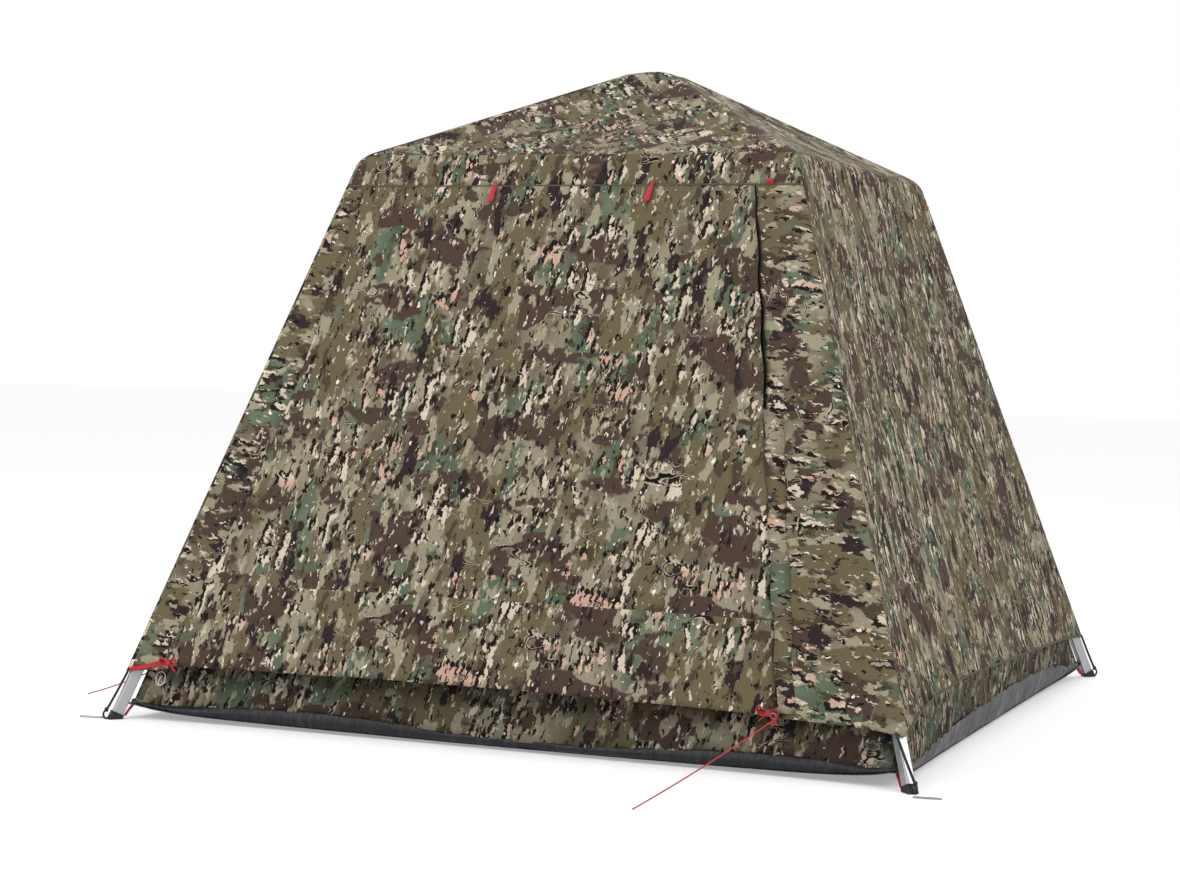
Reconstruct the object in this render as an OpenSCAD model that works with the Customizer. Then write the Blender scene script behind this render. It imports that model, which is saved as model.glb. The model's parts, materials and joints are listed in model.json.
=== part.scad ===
// Quick-erecting cabin blind: a folding aluminium frame between a floored inner tent and an outer fly.
// Origin on the ground under the centre of the tent, +Z up, the door flap faces -Y.

/* [Footprint] */
// Distance between the centres of two neighbouring feet
foot_spacing = 2400; // [2200:10:2600]
// Angle between a leg and the vertical, in degrees
leg_lean = 24.7; // [23:0.1:26]

/* [Hub and arms] */
// Height of the arm pivots on the hub
hub_z = 1935; // [1900:5:1960]
// Distance from the centre of the hub to an arm pivot
hub_r = 48; // [46:1:52]
// Angle that the arms slope down from the hub, in degrees
arm_fall = 17.3; // [16:0.1:18]
// Width of the arm tube
arm_w = 20; // [18:1:22]
// Height of the arm tube
arm_h = 25; // [22:1:26]
// Distance of the elbow pivot below the arm's centre line
elbow_drop = 17; // [17:0.5:20]

/* [Legs] */
// Distance of the elbow pivot inside the leg's centre line
elbow_set = 18; // [18:0.5:20]
// Width of the upper leg tube
upper_w = 30; // [28:1:32]
// Depth of the upper leg tube, from the inside to the outside of the tent
upper_d = 36; // [34:1:38]
// Wall thickness of all the tubes
tube_wall = 1.4; // [1.2:0.1:1.8]
// Length of the upper leg, measured from the elbow pivot
upper_end = 960; // [930:5:970]
// Distance from the elbow pivot to the top of the lower leg tube
lower_start = 885; // [860:5:890]
// Clearance between the lower leg tube and the upper leg tube, per side
slide_gap = 0.6; // [0.3:0.1:0.8]

/* [Fly] */
// Half width of the fly at the eaves
eave_half = 690; // [660:5:720]
// Height of the eaves
eave_z = 1681; // [1660:1:1700]
// Height of the rounded top of the roof
apex_z = 1992; // [1985:1:2000]
// Half width of the rounded top of the roof
apex_half = 50; // [40:1:60]
// Outward run of a fly wall for each unit of height
wall_run = 0.3189; // [0.315:0.0001:0.325]
// Height of the seam below the eaves, where the door flap starts
seam_z = 1585; // [1560:1:1600]
// Height of the fly's hem
hem_z = 160; // [150:1:170]
// Thickness of the coated fly cloth in this model
cloth_t = 2; // [1.5:0.1:2.5]

/* [Door flap] */
// Place of the flap's left edge at the seam
flap_left_top = -655; // [-670:1:-640]
// Place of the flap's left edge at the hem
flap_left_hem = -1061; // [-1070:1:-1050]
// Place of the flap's right edge at the seam
flap_right_top = 588; // [580:1:600]
// Place of the flap's right edge at the hem
flap_right_hem = 840; // [830:1:850]
// Places of the two toggles along the seam
toggle_places = [-219, 275];
// Length of a toggle
toggle_len = 58; // [50:1:60]

/* [Inner tent] */
// Half width of the inner tent at the ground
inner_base = 1160; // [1150:1:1165]
// Outward run of an inner wall for each unit of height
inner_run = 0.3253; // [0.324:0.0001:0.328]
// Height of the inner tent's eaves
inner_eave_z = 1600; // [1580:1:1605]
// Height of the inner tent's peak
inner_peak_z = 1870; // [1850:1:1875]
// Height of the waterproof sides of the floor
tub_z = 110; // [90:1:120]
// Thickness of the floor sheet
floor_t = 3; // [2:0.5:3]

/* [Hidden] */
$fn = 32;
CORNERS = ["back_right", "back_left", "front_left", "front_right"];
CORNER_TURN = [45, 135, 225, 315];

// Elbow geometry, worked out in the vertical plane through one corner of the tent
foot_r = foot_spacing / sqrt(2);
arm_dir = [cos(arm_fall), -sin(arm_fall)];
arm_up = [sin(arm_fall), cos(arm_fall)];
leg_dir = [sin(leg_lean), -cos(leg_lean)];
leg_out = [cos(leg_lean), sin(leg_lean)];
elbow_base = [hub_r, hub_z] - elbow_drop * arm_up;
reach = [foot_r, 0] - elbow_base - elbow_set * leg_out;
arm_len = (reach[0] * leg_dir[1] - reach[1] * leg_dir[0]) / (arm_dir[0] * leg_dir[1] - arm_dir[1] * leg_dir[0]);
leg_len = (arm_dir[0] * reach[1] - arm_dir[1] * reach[0]) / (arm_dir[0] * leg_dir[1] - arm_dir[1] * leg_dir[0]);
elbow = elbow_base + arm_len * arm_dir;

// Hinge hardware
pin_r = 3;
pin_hole_r = 3.05;
knuckle_r = 13;
knuckle_t = 12;
ear_gap = 12.3;
ear_t = 5;
ear_out = ear_gap / 2 + ear_t;
head_r = 5;
head_t = 1.5;
head_gap = 0.1;
arm_tube_start = 30;
arm_tube_end = arm_len - 45;
fork_root = 13;
plug_len = 25;
plug_gap = 0.1;

// Leg hardware
lower_w = upper_w - 2 * (tube_wall + slide_gap);
lower_d = upper_d - 2 * (tube_wall + slide_gap);
head_block_top = 26;
head_block_end = 35;
collar_top = upper_end - 20;
collar_end = upper_end + 8;
collar_t = 2;
foot_top = 1800;
foot_seat = 1806;
foot_t = 3;
shut_gap = 24;
stroke = foot_top - collar_end - shut_gap;
button_at = 905;
button_r = 4;
button_hole_r = 4.15;
button_proud = 3;
groove_w = 3;
groove_d = 0.6;

// Half widths of the two tents at a height
function fly_half(z) = eave_half + (eave_z - z) * wall_run;
function inner_half(z) = inner_base - z * inner_run;
fly_lean = atan(wall_run);
inner_lean = atan(inner_run);
inner_cloth_t = 1.5;

// Door flap, measured down the slope of the front wall
flap_top = 8;
flap_hem_z = 168;
flap_len = (seam_z - flap_hem_z) / cos(fly_lean);
flap_gap = 6;
bead_r = 3;
tape_w = 34;
tape_t = 1.2;
tape_z = -6;
slider_from_hem = 70;

// Inner door
door_sill_z = 260;
door_head_z = 1470;
door_sill_half = 600;
door_head_half = 430;
door_gap = 6;

// ---- Frames of reference -------------------------------------------------

module at_corner(i) {
    rotate([0, 0, CORNER_TURN[i]]) children();
}

// +X runs out along the arm from the hub pivot, +Z is the arm's upper side
module arm_frame(i) {
    at_corner(i) translate([hub_r, 0, hub_z]) rotate([0, arm_fall, 0]) children();
}

// -Z runs down the leg from the elbow pivot, +X is the leg's outer side
module leg_frame(i) {
    at_corner(i) translate([elbow[0], 0, elbow[1]]) rotate([0, -leg_lean, 0]) children();
}

// The front wall: +X to the right, +Y up the slope from the seam, +Z out of the cloth
module front_frame(half = fly_half(seam_z), z = seam_z, lean = fly_lean) {
    translate([0, -half, z]) rotate([90 - lean, 0, 0]) children();
}

// ---- Basic shapes ----------------------------------------------------------

module rounded_rect(w, h, r) {
    square([w - 2 * r, h], center = true);
    square([w, h - 2 * r], center = true);
    for (x = [-1, 1])
        for (y = [-1, 1])
            translate([x * (w / 2 - r), y * (h / 2 - r)]) circle(r);
}

// A straight bar down the leg, between two distances from the elbow pivot
module leg_bar(w, d, r, from, to) {
    translate([elbow_set, 0, -to]) linear_extrude(to - from) rounded_rect(d, w, r);
}

// A straight bar along the arm, between two distances from the hub pivot
module arm_bar(w, h, r, from, to) {
    translate([from, 0, 0]) rotate([0, 90, 0]) linear_extrude(to - from) rounded_rect(h, w, r);
}

// A flat plate in the plane of an arm and its leg, with its thickness across that plane
module side_plate(t, y = 0) {
    translate([0, y + t / 2, 0]) rotate([90, 0, 0]) linear_extrude(t) children();
}

module cross_pin(r, half_len) {
    rotate([90, 0, 0]) cylinder(r = r, h = 2 * half_len, center = true);
}

module rivet() {
    cross_pin(pin_r, ear_out + head_gap + 0.01);
    for (side = [-1, 1])
        translate([0, side * (ear_out + head_gap + head_t / 2), 0]) cross_pin(head_r, head_t / 2);
}

// A square tower whose half width changes at each [half width, height] ring
module tower(rings) {
    n = len(rings);
    points = [for (ring = rings) for (c = [[-1, -1], [1, -1], [1, 1], [-1, 1]])
        [c[0] * ring[0], c[1] * ring[0], ring[1]]];
    sides = [for (k = [0:n - 2]) for (c = [0:3])
        [4 * k + c, 4 * k + (c + 1) % 4, 4 * k + 4 + (c + 1) % 4, 4 * k + 4 + c]];
    ends = [[3, 2, 1, 0], [4 * n - 4, 4 * n - 3, 4 * n - 2, 4 * n - 1]];
    polyhedron(points, [for (f = concat(sides, ends)) [f[3], f[2], f[1], f[0]]]);
}

// A straight cord between two points
module cord(a, b, r) {
    d = b - a;
    length = norm(d);
    translate(a) rotate([0, acos(d[2] / length), atan2(d[1], d[0])]) cylinder(r = r, h = length);
}

module ring(r, wire) {
    rotate_extrude() translate([r, 0]) circle(wire);
}

// ---- Hub -------------------------------------------------------------------

module hub_ear_outline() {
    circle(knuckle_r);
    translate([-hub_r / 2, -knuckle_r]) square([hub_r / 2, 2 * knuckle_r]);
}

module hub_body() {
    color("dimgray") {
        difference() {
            translate([0, 0, hub_z - 38]) cylinder(r = 30, h = 38 + knuckle_r);
            translate([0, 0, hub_z - 39]) cylinder(r = 12, h = 30);
        }
        for (i = [0:3])
            at_corner(i) translate([hub_r, 0, hub_z]) difference() {
                for (side = [-1, 1])
                    side_plate(ear_t, side * (ear_gap + ear_t) / 2) hub_ear_outline();
                cross_pin(pin_hole_r, ear_out + 1);
            }
    }
}

module hub_cap() {
    seat_gap = 0.05;
    color("dimgray") translate([0, 0, hub_z + knuckle_r + seat_gap]) {
        cylinder(r = 30, h = 12);
        translate([0, 0, 12]) cylinder(r1 = 30, r2 = 20, h = 12);
    }
}

module hub_pins() {
    color("silver") for (i = [0:3])
        at_corner(i) translate([hub_r, 0, hub_z]) rivet();
}

// ---- Arms ------------------------------------------------------------------

module arm_tube(i) {
    color("silver") arm_frame(i) difference() {
        arm_bar(arm_w, arm_h, 3, arm_tube_start, arm_tube_end);
        arm_bar(arm_w - 2 * tube_wall, arm_h - 2 * tube_wall, 1.6, arm_tube_start - 1, arm_tube_end + 1);
    }
}

module arm_plug(from, to) {
    slim = 2 * (tube_wall + plug_gap);
    arm_bar(arm_w - slim, arm_h - slim, 1.5, from, to);
}

module hub_knuckle() {
    difference() {
        union() {
            side_plate(knuckle_t) {
                circle(knuckle_r);
                translate([0, -11]) square([arm_tube_start - 5, 22]);
            }
            arm_bar(arm_w, arm_h, 3, arm_tube_start - 8, arm_tube_start);
            arm_plug(arm_tube_start, arm_tube_start + plug_len);
        }
        cross_pin(pin_hole_r, knuckle_t);
    }
}

// The ear runs from the end of the arm down to a round end on the elbow pivot
module elbow_ear_outline() {
    translate([arm_len, -elbow_drop]) circle(knuckle_r);
    polygon([
        [arm_len - 33, arm_h / 2],
        [arm_len + 7, -elbow_drop + 10.9],
        [arm_len, -elbow_drop],
        [arm_len - 7.5, -elbow_drop - 10.6],
        [arm_len - 33, -10.5]
    ]);
}

module elbow_fork() {
    difference() {
        union() {
            arm_plug(arm_tube_end - plug_len, arm_tube_end);
            arm_bar(2 * ear_out, arm_h, 3, arm_tube_end, arm_tube_end + fork_root);
            for (side = [-1, 1])
                side_plate(ear_t, side * (ear_gap + ear_t) / 2) elbow_ear_outline();
        }
        translate([arm_len, 0, -elbow_drop]) cross_pin(pin_hole_r, ear_out + 1);
    }
}

module arm_fittings(i) {
    color("dimgray") arm_frame(i) {
        hub_knuckle();
        elbow_fork();
    }
}

module elbow_pin(i) {
    color("silver") leg_frame(i) rivet();
}

// ---- Legs ------------------------------------------------------------------

module button_hole(at) {
    translate([elbow_set + lower_d / 4, 0, -at]) rotate([0, 90, 0]) cylinder(r = button_hole_r, h = upper_d);
}

module upper_leg(i) {
    color("silver") leg_frame(i) difference() {
        leg_bar(upper_w, upper_d, 4, head_block_end, upper_end);
        leg_bar(upper_w - 2 * tube_wall, upper_d - 2 * tube_wall, 2.6, head_block_end - 1, upper_end + 1);
        for (at = [button_at, button_at - stroke]) button_hole(at);
    }
}

module leg_knuckle(i) {
    slim = 2 * (tube_wall + plug_gap);
    color("dimgray") leg_frame(i) difference() {
        union() {
            side_plate(knuckle_t) {
                circle(knuckle_r);
                polygon([[-knuckle_r, 0], [9, 9.4], [elbow_set * 2, -22], [elbow_set * 2 - 4, -28], [4, -28]]);
            }
            leg_bar(upper_w, upper_d, 4, head_block_top, head_block_end);
            leg_bar(upper_w - slim, upper_d - slim, 2.4, head_block_end, head_block_end + plug_len);
        }
        cross_pin(pin_hole_r, knuckle_t);
    }
}

module leg_collar(i) {
    sleeve = 2 * collar_t;
    color("dimgray") leg_frame(i) difference() {
        leg_bar(upper_w + sleeve, upper_d + sleeve, 5, collar_top, collar_end);
        leg_bar(upper_w + 0.2, upper_d + 0.2, 4.1, collar_top - 1, upper_end);
        leg_bar(lower_w + 0.6, lower_d + 0.6, 3, upper_end - 1, collar_end + 1);
    }
}

// Two shallow grooves run down each broad side of the lower tube
module lower_tube_outline() {
    difference() {
        rounded_rect(lower_d, lower_w, 3);
        for (side = [-1, 1])
            for (x = [-lower_d / 5, lower_d / 5])
                translate([x, side * lower_w / 2]) square([groove_w, 2 * groove_d], center = true);
    }
}

module lower_leg(i) {
    color("silver") leg_frame(i) difference() {
        translate([elbow_set, 0, -foot_seat]) linear_extrude(foot_seat - lower_start) lower_tube_outline();
        leg_bar(lower_w - 2 * tube_wall, lower_d - 2 * tube_wall, 1.6, lower_start - 1, foot_seat + 1);
        button_hole(button_at);
    }
}

// A plastic cup on the end of the leg, cut off level with the ground
module foot(i) {
    color("black") difference() {
        leg_frame(i) difference() {
            leg_bar(lower_w + 2 * foot_t, lower_d + 2 * foot_t, 4, foot_top, leg_len + 20);
            leg_bar(lower_w + 0.2, lower_d + 0.2, 3, foot_top - 1, foot_seat + 0.1);
        }
        translate([0, 0, -50]) cube([3 * foot_r, 3 * foot_r, 100], center = true);
    }
}

// A round button on a leaf spring inside the lower tube
module snap_button(i) {
    inner_face = lower_d / 2 - tube_wall;
    color("silver") leg_frame(i) translate([elbow_set, 0, -button_at]) rotate([0, 90, 0]) {
        cylinder(r = button_r, h = upper_d / 2 + button_proud);
        translate([0, 0, inner_face - 2]) cylinder(r = button_r + 2.5, h = 1.5);
        translate([0, -4, inner_face - 3]) cube([45, 8, 1.2]);
    }
}

// ---- Floor and inner tent --------------------------------------------------

module floor_sheet() {
    half = inner_half(floor_t) - 5;
    color("slategray") translate([-half, -half, 0]) cube([2 * half, 2 * half, floor_t]);
}

module floor_sides() {
    low = floor_t + 1;
    color("slategray") difference() {
        tower([[inner_half(low), low], [inner_half(tub_z), tub_z]]);
        tower([[inner_half(low - 1) - inner_cloth_t, low - 1], [inner_half(tub_z + 1) - inner_cloth_t, tub_z + 1]]);
    }
}

module door_outline(margin) {
    polygon([
        [-door_sill_half + margin, (door_sill_z - inner_eave_z) / cos(inner_lean) + margin],
        [door_sill_half - margin, (door_sill_z - inner_eave_z) / cos(inner_lean) + margin],
        [door_head_half - margin, (door_head_z - inner_eave_z) / cos(inner_lean) - margin],
        [-door_head_half + margin, (door_head_z - inner_eave_z) / cos(inner_lean) - margin]
    ]);
}

module inner_front() {
    front_frame(inner_half(inner_eave_z), inner_eave_z, inner_lean) children();
}

module inner_tent() {
    low = tub_z + 1;
    t = inner_cloth_t;
    color("darkolivegreen") difference() {
        tower([[inner_half(low), low], [inner_half(inner_eave_z), inner_eave_z], [60, inner_peak_z]]);
        tower([[inner_half(low - 1) - t, low - 1], [inner_half(inner_eave_z) - t, inner_eave_z - t],
               [60 - t, inner_peak_z - t]]);
        inner_front() translate([0, 0, -20]) linear_extrude(40) door_outline(0);
    }
}

// A mesh door, hinged on the rolled hem along its left edge
module inner_door() {
    sill = (door_sill_z - inner_eave_z) / cos(inner_lean) + door_gap;
    head = (door_head_z - inner_eave_z) / cos(inner_lean) - door_gap;
    color("darkslategray") inner_front() {
        translate([0, 0, -inner_cloth_t]) linear_extrude(inner_cloth_t) door_outline(door_gap);
        cord([-door_sill_half + door_gap + 4, sill + 2, -1], [-door_head_half + door_gap + 4, head - 2, -1], 2);
    }
}

// ---- Fly -------------------------------------------------------------------

module fly_roof() {
    low = seam_z + 1;
    color("olivedrab") difference() {
        tower([[fly_half(low), low], [eave_half, eave_z], [apex_half, apex_z]]);
        tower([[fly_half(low - 1) - cloth_t, low - 1], [eave_half - cloth_t, eave_z - cloth_t / 2],
               [apex_half - cloth_t, apex_z - cloth_t]]);
    }
}

function flap_left(y) = flap_left_top + (flap_left_top - flap_left_hem) * y / flap_len;
function flap_right(y) = flap_right_top + (flap_right_top - flap_right_hem) * y / flap_len;

module flap_outline(margin, top, bottom) {
    polygon([
        [flap_left(-top) + margin, -top],
        [flap_right(-top) - margin, -top],
        [flap_right(-bottom) - margin, -bottom],
        [flap_left(-bottom) + margin, -bottom]
    ]);
}

module fly_walls() {
    color("olivedrab") difference() {
        tower([[fly_half(hem_z), hem_z], [fly_half(seam_z), seam_z]]);
        tower([[fly_half(hem_z - 1) - cloth_t, hem_z - 1], [fly_half(seam_z + 1) - cloth_t, seam_z + 1]]);
        front_frame() translate([0, 0, -20]) linear_extrude(40) flap_outline(0, -10, flap_len + 20);
    }
}

// The flap hangs from a corded bead along its top edge
module door_flap() {
    color("olivedrab") front_frame() {
        translate([0, 0, -cloth_t]) linear_extrude(cloth_t) flap_outline(flap_gap, flap_top, flap_len);
        cord([flap_left(-flap_top) + 8, -flap_top, -1], [flap_right(-flap_top) - 8, -flap_top, -1], bead_r);
    }
}

module zip_tapes() {
    color("black") front_frame() translate([0, 0, tape_z]) linear_extrude(tape_t) difference() {
        flap_outline(-tape_w / 2, flap_top, flap_len - 4);
        flap_outline(tape_w / 2, flap_top - 5, flap_len + 10);
    }
}

module zip_slider(edge_x) {
    color("black") front_frame() translate([edge_x, -flap_len + slider_from_hem, 0.8]) {
        translate([-6, -10, 0]) cube([12, 20, 5]);
        translate([-3, -32, 1.5]) cube([6, 24, 2]);
    }
}

module zip_slider_left() {
    zip_slider(flap_left(-flap_len + slider_from_hem));
}

module zip_slider_right() {
    zip_slider(flap_right(-flap_len + slider_from_hem));
}

// A soft toggle that ties the rolled flap, hung on a short cord bead
module toggle(x) {
    body_r = 7;
    drop = toggle_len - body_r;
    color("red") front_frame() translate([x, -bead_r, body_r + 4]) {
        rotate([0, 90, 0]) cylinder(r = bead_r, h = 14, center = true);
        cord([0, 0, 0], [0, -drop, 0], body_r - 2);
        translate([0, -drop, 0]) sphere(body_r);
    }
}

module toggle_left() {
    toggle(toggle_places[0]);
}

module toggle_right() {
    toggle(toggle_places[1]);
}

// One webbing loop near the top of each face
module corner_tabs() {
    color("red") for (turn = [0:90:270])
        rotate([0, 0, turn]) front_frame() translate([620, 2, 0.6]) difference() {
            cube([20, 20, 3]);
            translate([5, 5, -1]) cube([10, 6, 5]);
        }
}

// ---- Ground fittings -------------------------------------------------------

// Webbing from each corner of the floor to the foot
module foot_straps() {
    start = [1611, 72];
    run = [57, -64];
    width = 26;
    color("red") for (i = [0:3])
        at_corner(i) translate([start[0], 0, start[1]]) rotate([0, atan2(-run[1], run[0]), 0])
            translate([0, -width / 2, -1]) cube([norm(run), width, 2]);
}

// Elastic cord from beside each leg to its outer side, with a hook over the foot
module bungee_cords() {
    top = [1650, -19, 146];
    eye = [1727, 0, 12];
    eye_r = 5.8;
    color("black") for (i = [0:3])
        at_corner(i) {
            cord(top, eye + (eye_r / norm(top - eye)) * (top - eye), 2.2);
            translate(eye) rotate([90, 0, 0]) ring(eye_r, 2.7);
        }
}

// A steel wire peg with a long eye, lying flat
module peg() {
    linear_extrude(4) difference() {
        rounded_rect(82, 14, 6.9);
        rounded_rect(74, 6, 2.9);
    }
}

module pegs() {
    color("silver") {
        translate([-1272, -1218, 0]) rotate([0, 0, 12]) peg();
        translate([1262, -1262, 0]) rotate([0, 0, 9]) peg();
    }
}

// Where the guy lines start, just outside the lower corners of the flap
function flap_corner(x) = [x, -fly_half(flap_hem_z) - 12, flap_hem_z - 6];
guy_left_end = [-1524, -860, 4];
guy_right_end = [655, -1755, 4];
guy_left_start = flap_corner(flap_left_hem + 6);
guy_right_start = flap_corner(flap_right_hem - 6);
eye_r = 7;
guy_r = 1.6;

// Webbing knots on the lower corners of the flap
module hem_ties() {
    color("red") for (x = [flap_left_hem + 22, flap_right_hem - 22])
        front_frame() translate([x, -flap_len + 12, 3.4]) {
            cube([40, 9, 5], center = true);
            rotate([0, 0, 35]) cube([26, 7, 4], center = true);
        }
}

module guy_line(start, end) {
    aim = atan2(end[1] - start[1], end[0] - start[0]);
    color("red") {
        translate(start) rotate([0, 0, aim]) rotate([90, 0, 0]) ring(eye_r, guy_r);
        cord(start + eye_r * (end - start) / norm(end - start), end, guy_r);
    }
}

module guy_line_left() {
    guy_line(guy_left_start, guy_left_end);
}

module guy_line_right() {
    guy_line(guy_right_start, guy_right_end);
}

// An oval cord ring hanging on the inner tent beside the left corner
module cord_ring() {
    color("white") front_frame(inner_half(120), 120, inner_lean) translate([-1075, 0, 4])
        linear_extrude(3) difference() {
            rounded_rect(32, 44, 15.5);
            rounded_rect(26, 38, 12.5);
        }
}

// ---- Nodes -----------------------------------------------------------------

hub_body();
hub_cap();
hub_pins();
for (i = [0:3]) {
    arm_tube(i);
    arm_fittings(i);
    elbow_pin(i);
    upper_leg(i);
    leg_knuckle(i);
    leg_collar(i);
    lower_leg(i);
    foot(i);
    snap_button(i);
}
floor_sheet();
floor_sides();
inner_tent();
inner_door();
fly_roof();
fly_walls();
door_flap();
zip_tapes();
zip_slider_left();
zip_slider_right();
toggle_left();
toggle_right();
corner_tabs();
foot_straps();
bungee_cords();
pegs();
hem_ties();
guy_line_left();
guy_line_right();
cord_ring();
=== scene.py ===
"""Looks of a camouflage cabin blind: cloth, webbing, zips and fittings, laid over the CAD frame.

Lengths are in metres. Z points up, the front faces -Y, and sides count 0 front, 1 right, 2 back, 3 left.
"""

import json
import math

import bpy
import numpy as np
from mathutils import Matrix, Vector


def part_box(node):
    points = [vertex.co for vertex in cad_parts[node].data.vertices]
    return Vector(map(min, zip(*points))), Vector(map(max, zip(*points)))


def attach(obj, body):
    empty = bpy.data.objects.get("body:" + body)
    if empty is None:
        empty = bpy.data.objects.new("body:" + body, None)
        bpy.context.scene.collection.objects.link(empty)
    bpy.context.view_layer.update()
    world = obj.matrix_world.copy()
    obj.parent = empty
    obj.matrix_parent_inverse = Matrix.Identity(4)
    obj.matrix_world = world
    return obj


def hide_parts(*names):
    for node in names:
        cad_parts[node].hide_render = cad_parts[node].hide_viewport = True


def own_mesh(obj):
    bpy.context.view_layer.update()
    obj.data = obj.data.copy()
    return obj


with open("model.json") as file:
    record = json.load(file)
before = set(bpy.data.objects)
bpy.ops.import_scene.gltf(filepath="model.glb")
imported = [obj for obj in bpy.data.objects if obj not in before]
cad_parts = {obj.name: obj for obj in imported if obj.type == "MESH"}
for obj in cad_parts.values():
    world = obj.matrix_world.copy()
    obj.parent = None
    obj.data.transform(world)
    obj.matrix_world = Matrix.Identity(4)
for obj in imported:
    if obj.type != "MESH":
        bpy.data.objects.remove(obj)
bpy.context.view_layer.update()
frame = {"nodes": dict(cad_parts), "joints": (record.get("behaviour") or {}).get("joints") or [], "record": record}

ARC_COLS = 4  # grid columns round each corner of the tent
CLOTH = 0.0012  # thickness of the shown cloth
TURNS = (45, 135, 225, 315)  # directions of the four corners


# ---- Places, read from the frame ---------------------------------------------


def vertices(node):
    """A CAD node's vertices, one per row."""
    mesh = frame["nodes"][node].data
    co = np.zeros(len(mesh.vertices) * 3)
    mesh.vertices.foreach_get("co", co)
    return co.reshape(-1, 3)


def highest_beyond(node, half):
    """(half width, height) of a node's highest vertex that is farther out than half."""
    co = vertices(node)
    far = co[co[:, 0] > half]
    top = far[far[:, 2].argmax()]
    return float(top[0]), float(top[2])


def corner_x(node, low, left):
    """x of a node's corner on its lowest or highest edge."""
    co = vertices(node)
    z = co[:, 2].min() if low else co[:, 2].max()
    row = co[np.abs(co[:, 2] - z) < 0.004]
    return float(row[:, 0].min() if left else row[:, 0].max())


def joint(name):
    return next(j for j in frame["joints"] if j["name"] == name)


WALLS_LOW, WALLS_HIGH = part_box("fly_walls")
HEM_Z = WALLS_LOW.z
SEAM_Z = WALLS_HIGH.z
HEM_HALF = WALLS_HIGH.x
APEX_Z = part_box("fly_roof")[1].z
EAVE_HALF, EAVE_Z = highest_beyond("fly_roof", 0.6)
APEX_HALF = highest_beyond("fly_roof", 0.03)[0]
WALL_RUN = (HEM_HALF - EAVE_HALF) / (EAVE_Z - HEM_Z)
ROOF_RUN = (EAVE_HALF - APEX_HALF) / (APEX_Z - EAVE_Z)
LEAN = math.atan(WALL_RUN)

FLAP_HEM_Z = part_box("door_flap")[0].z
FLAP_LEFT = (corner_x("door_flap", False, True), corner_x("door_flap", True, True))
FLAP_RIGHT = (corner_x("door_flap", False, False), corner_x("door_flap", True, False))

INNER_FOOT, INNER_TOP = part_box("inner_tent")
INNER_EAVE_HALF, INNER_EAVE_Z = highest_beyond("inner_tent", 0.5)
INNER_PEAK_Z = INNER_TOP.z
INNER_RUN = (INNER_TOP.x - INNER_EAVE_HALF) / (INNER_EAVE_Z - INNER_FOOT.z)


def fly_half(z):
    """Half width of the fly's walls at a height."""
    return EAVE_HALF + (EAVE_Z - z) * WALL_RUN


def inner_half(z):
    """Half width of the inner tent's walls at a height."""
    return INNER_EAVE_HALF + (INNER_EAVE_Z - z) * INNER_RUN


# ---- Mesh helpers --------------------------------------------------------------


def new_mesh(name, points, faces, smooth=True):
    mesh = bpy.data.meshes.new(name)
    mesh.from_pydata([tuple(p) for p in points], [], [tuple(f) for f in faces])
    mesh.validate()
    mesh.update()
    if smooth:
        mesh.polygons.foreach_set("use_smooth", [True] * len(mesh.polygons))
    obj = bpy.data.objects.new(name, mesh)
    bpy.context.scene.collection.objects.link(obj)
    return obj


def grid_faces(rows, cols, wrap=False, skip=None):
    """Quads of a rows by cols grid of points, leaving out those that skip(row, col) names."""
    last = cols if wrap else cols - 1
    faces = []
    for r in range(rows - 1):
        for c in range(last):
            if skip is None or not skip(r, c):
                d = (c + 1) % cols
                faces.append((r * cols + c, r * cols + d, (r + 1) * cols + d, (r + 1) * cols + c))
    return faces


def thicken(obj, thickness=CLOTH, offset=-1.0):
    """Gives a sheet its thickness: inwards at offset -1, outwards at 1, to both sides at 0."""
    modifier = obj.modifiers.new("thickness", "SOLIDIFY")
    modifier.thickness = thickness
    modifier.offset = offset
    modifier.use_even_offset = False


def sweep(path, outline, closed_path=False):
    """Points and faces of a closed outline swept along a path of points."""
    path = np.array(path, float)
    n, m = len(path), len(outline)
    tangents = np.gradient(path, axis=0)
    if closed_path:
        tangents = np.roll(path, -1, 0) - np.roll(path, 1, 0)
    up = np.array([0.0, 0.0, 1.0])
    points = []
    side = None
    for p, t in zip(path, tangents):
        t = t / np.linalg.norm(t)
        ref = up if side is None else np.cross(side, t)
        if abs(np.dot(ref, t)) > 0.95:
            ref = np.array([0.0, 1.0, 0.0])
        side = np.cross(t, ref)
        side /= np.linalg.norm(side)
        top = np.cross(side, t)
        points += [p + side * a + top * b for a, b in outline]
    faces = grid_faces(n, m, wrap=True)
    if closed_path:
        faces += [((n - 1) * m + c, (n - 1) * m + (c + 1) % m, (c + 1) % m, c) for c in range(m)]
    else:
        faces += [tuple(reversed(range(m))), tuple(range((n - 1) * m, n * m))]
    return points, faces


def round_outline(radius, n=8):
    angles = [2 * math.pi * k / n for k in range(n)]
    return [(radius * math.cos(a), radius * math.sin(a)) for a in angles]


def flat_outline(width, thickness):
    w, t = width / 2, thickness / 2
    return [(-w, -t), (w, -t), (w, t), (-w, t)]


def join_parts(name, parts, smooth=True):
    """One mesh object from a list of (points, faces)."""
    points, faces = [], []
    for p, f in parts:
        base = len(points)
        points += [tuple(q) for q in p]
        faces += [tuple(i + base for i in face) for face in f]
    return new_mesh(name, points, faces, smooth)


def curve_points(a, b, sag, n, side=(0, 0, -1)):
    """n points from a to b, bowed by sag towards side."""
    a, b, side = np.array(a, float), np.array(b, float), np.array(side, float)
    return [a + (b - a) * t + side * sag * 4 * t * (1 - t) for t in np.linspace(0, 1, n)]


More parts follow.
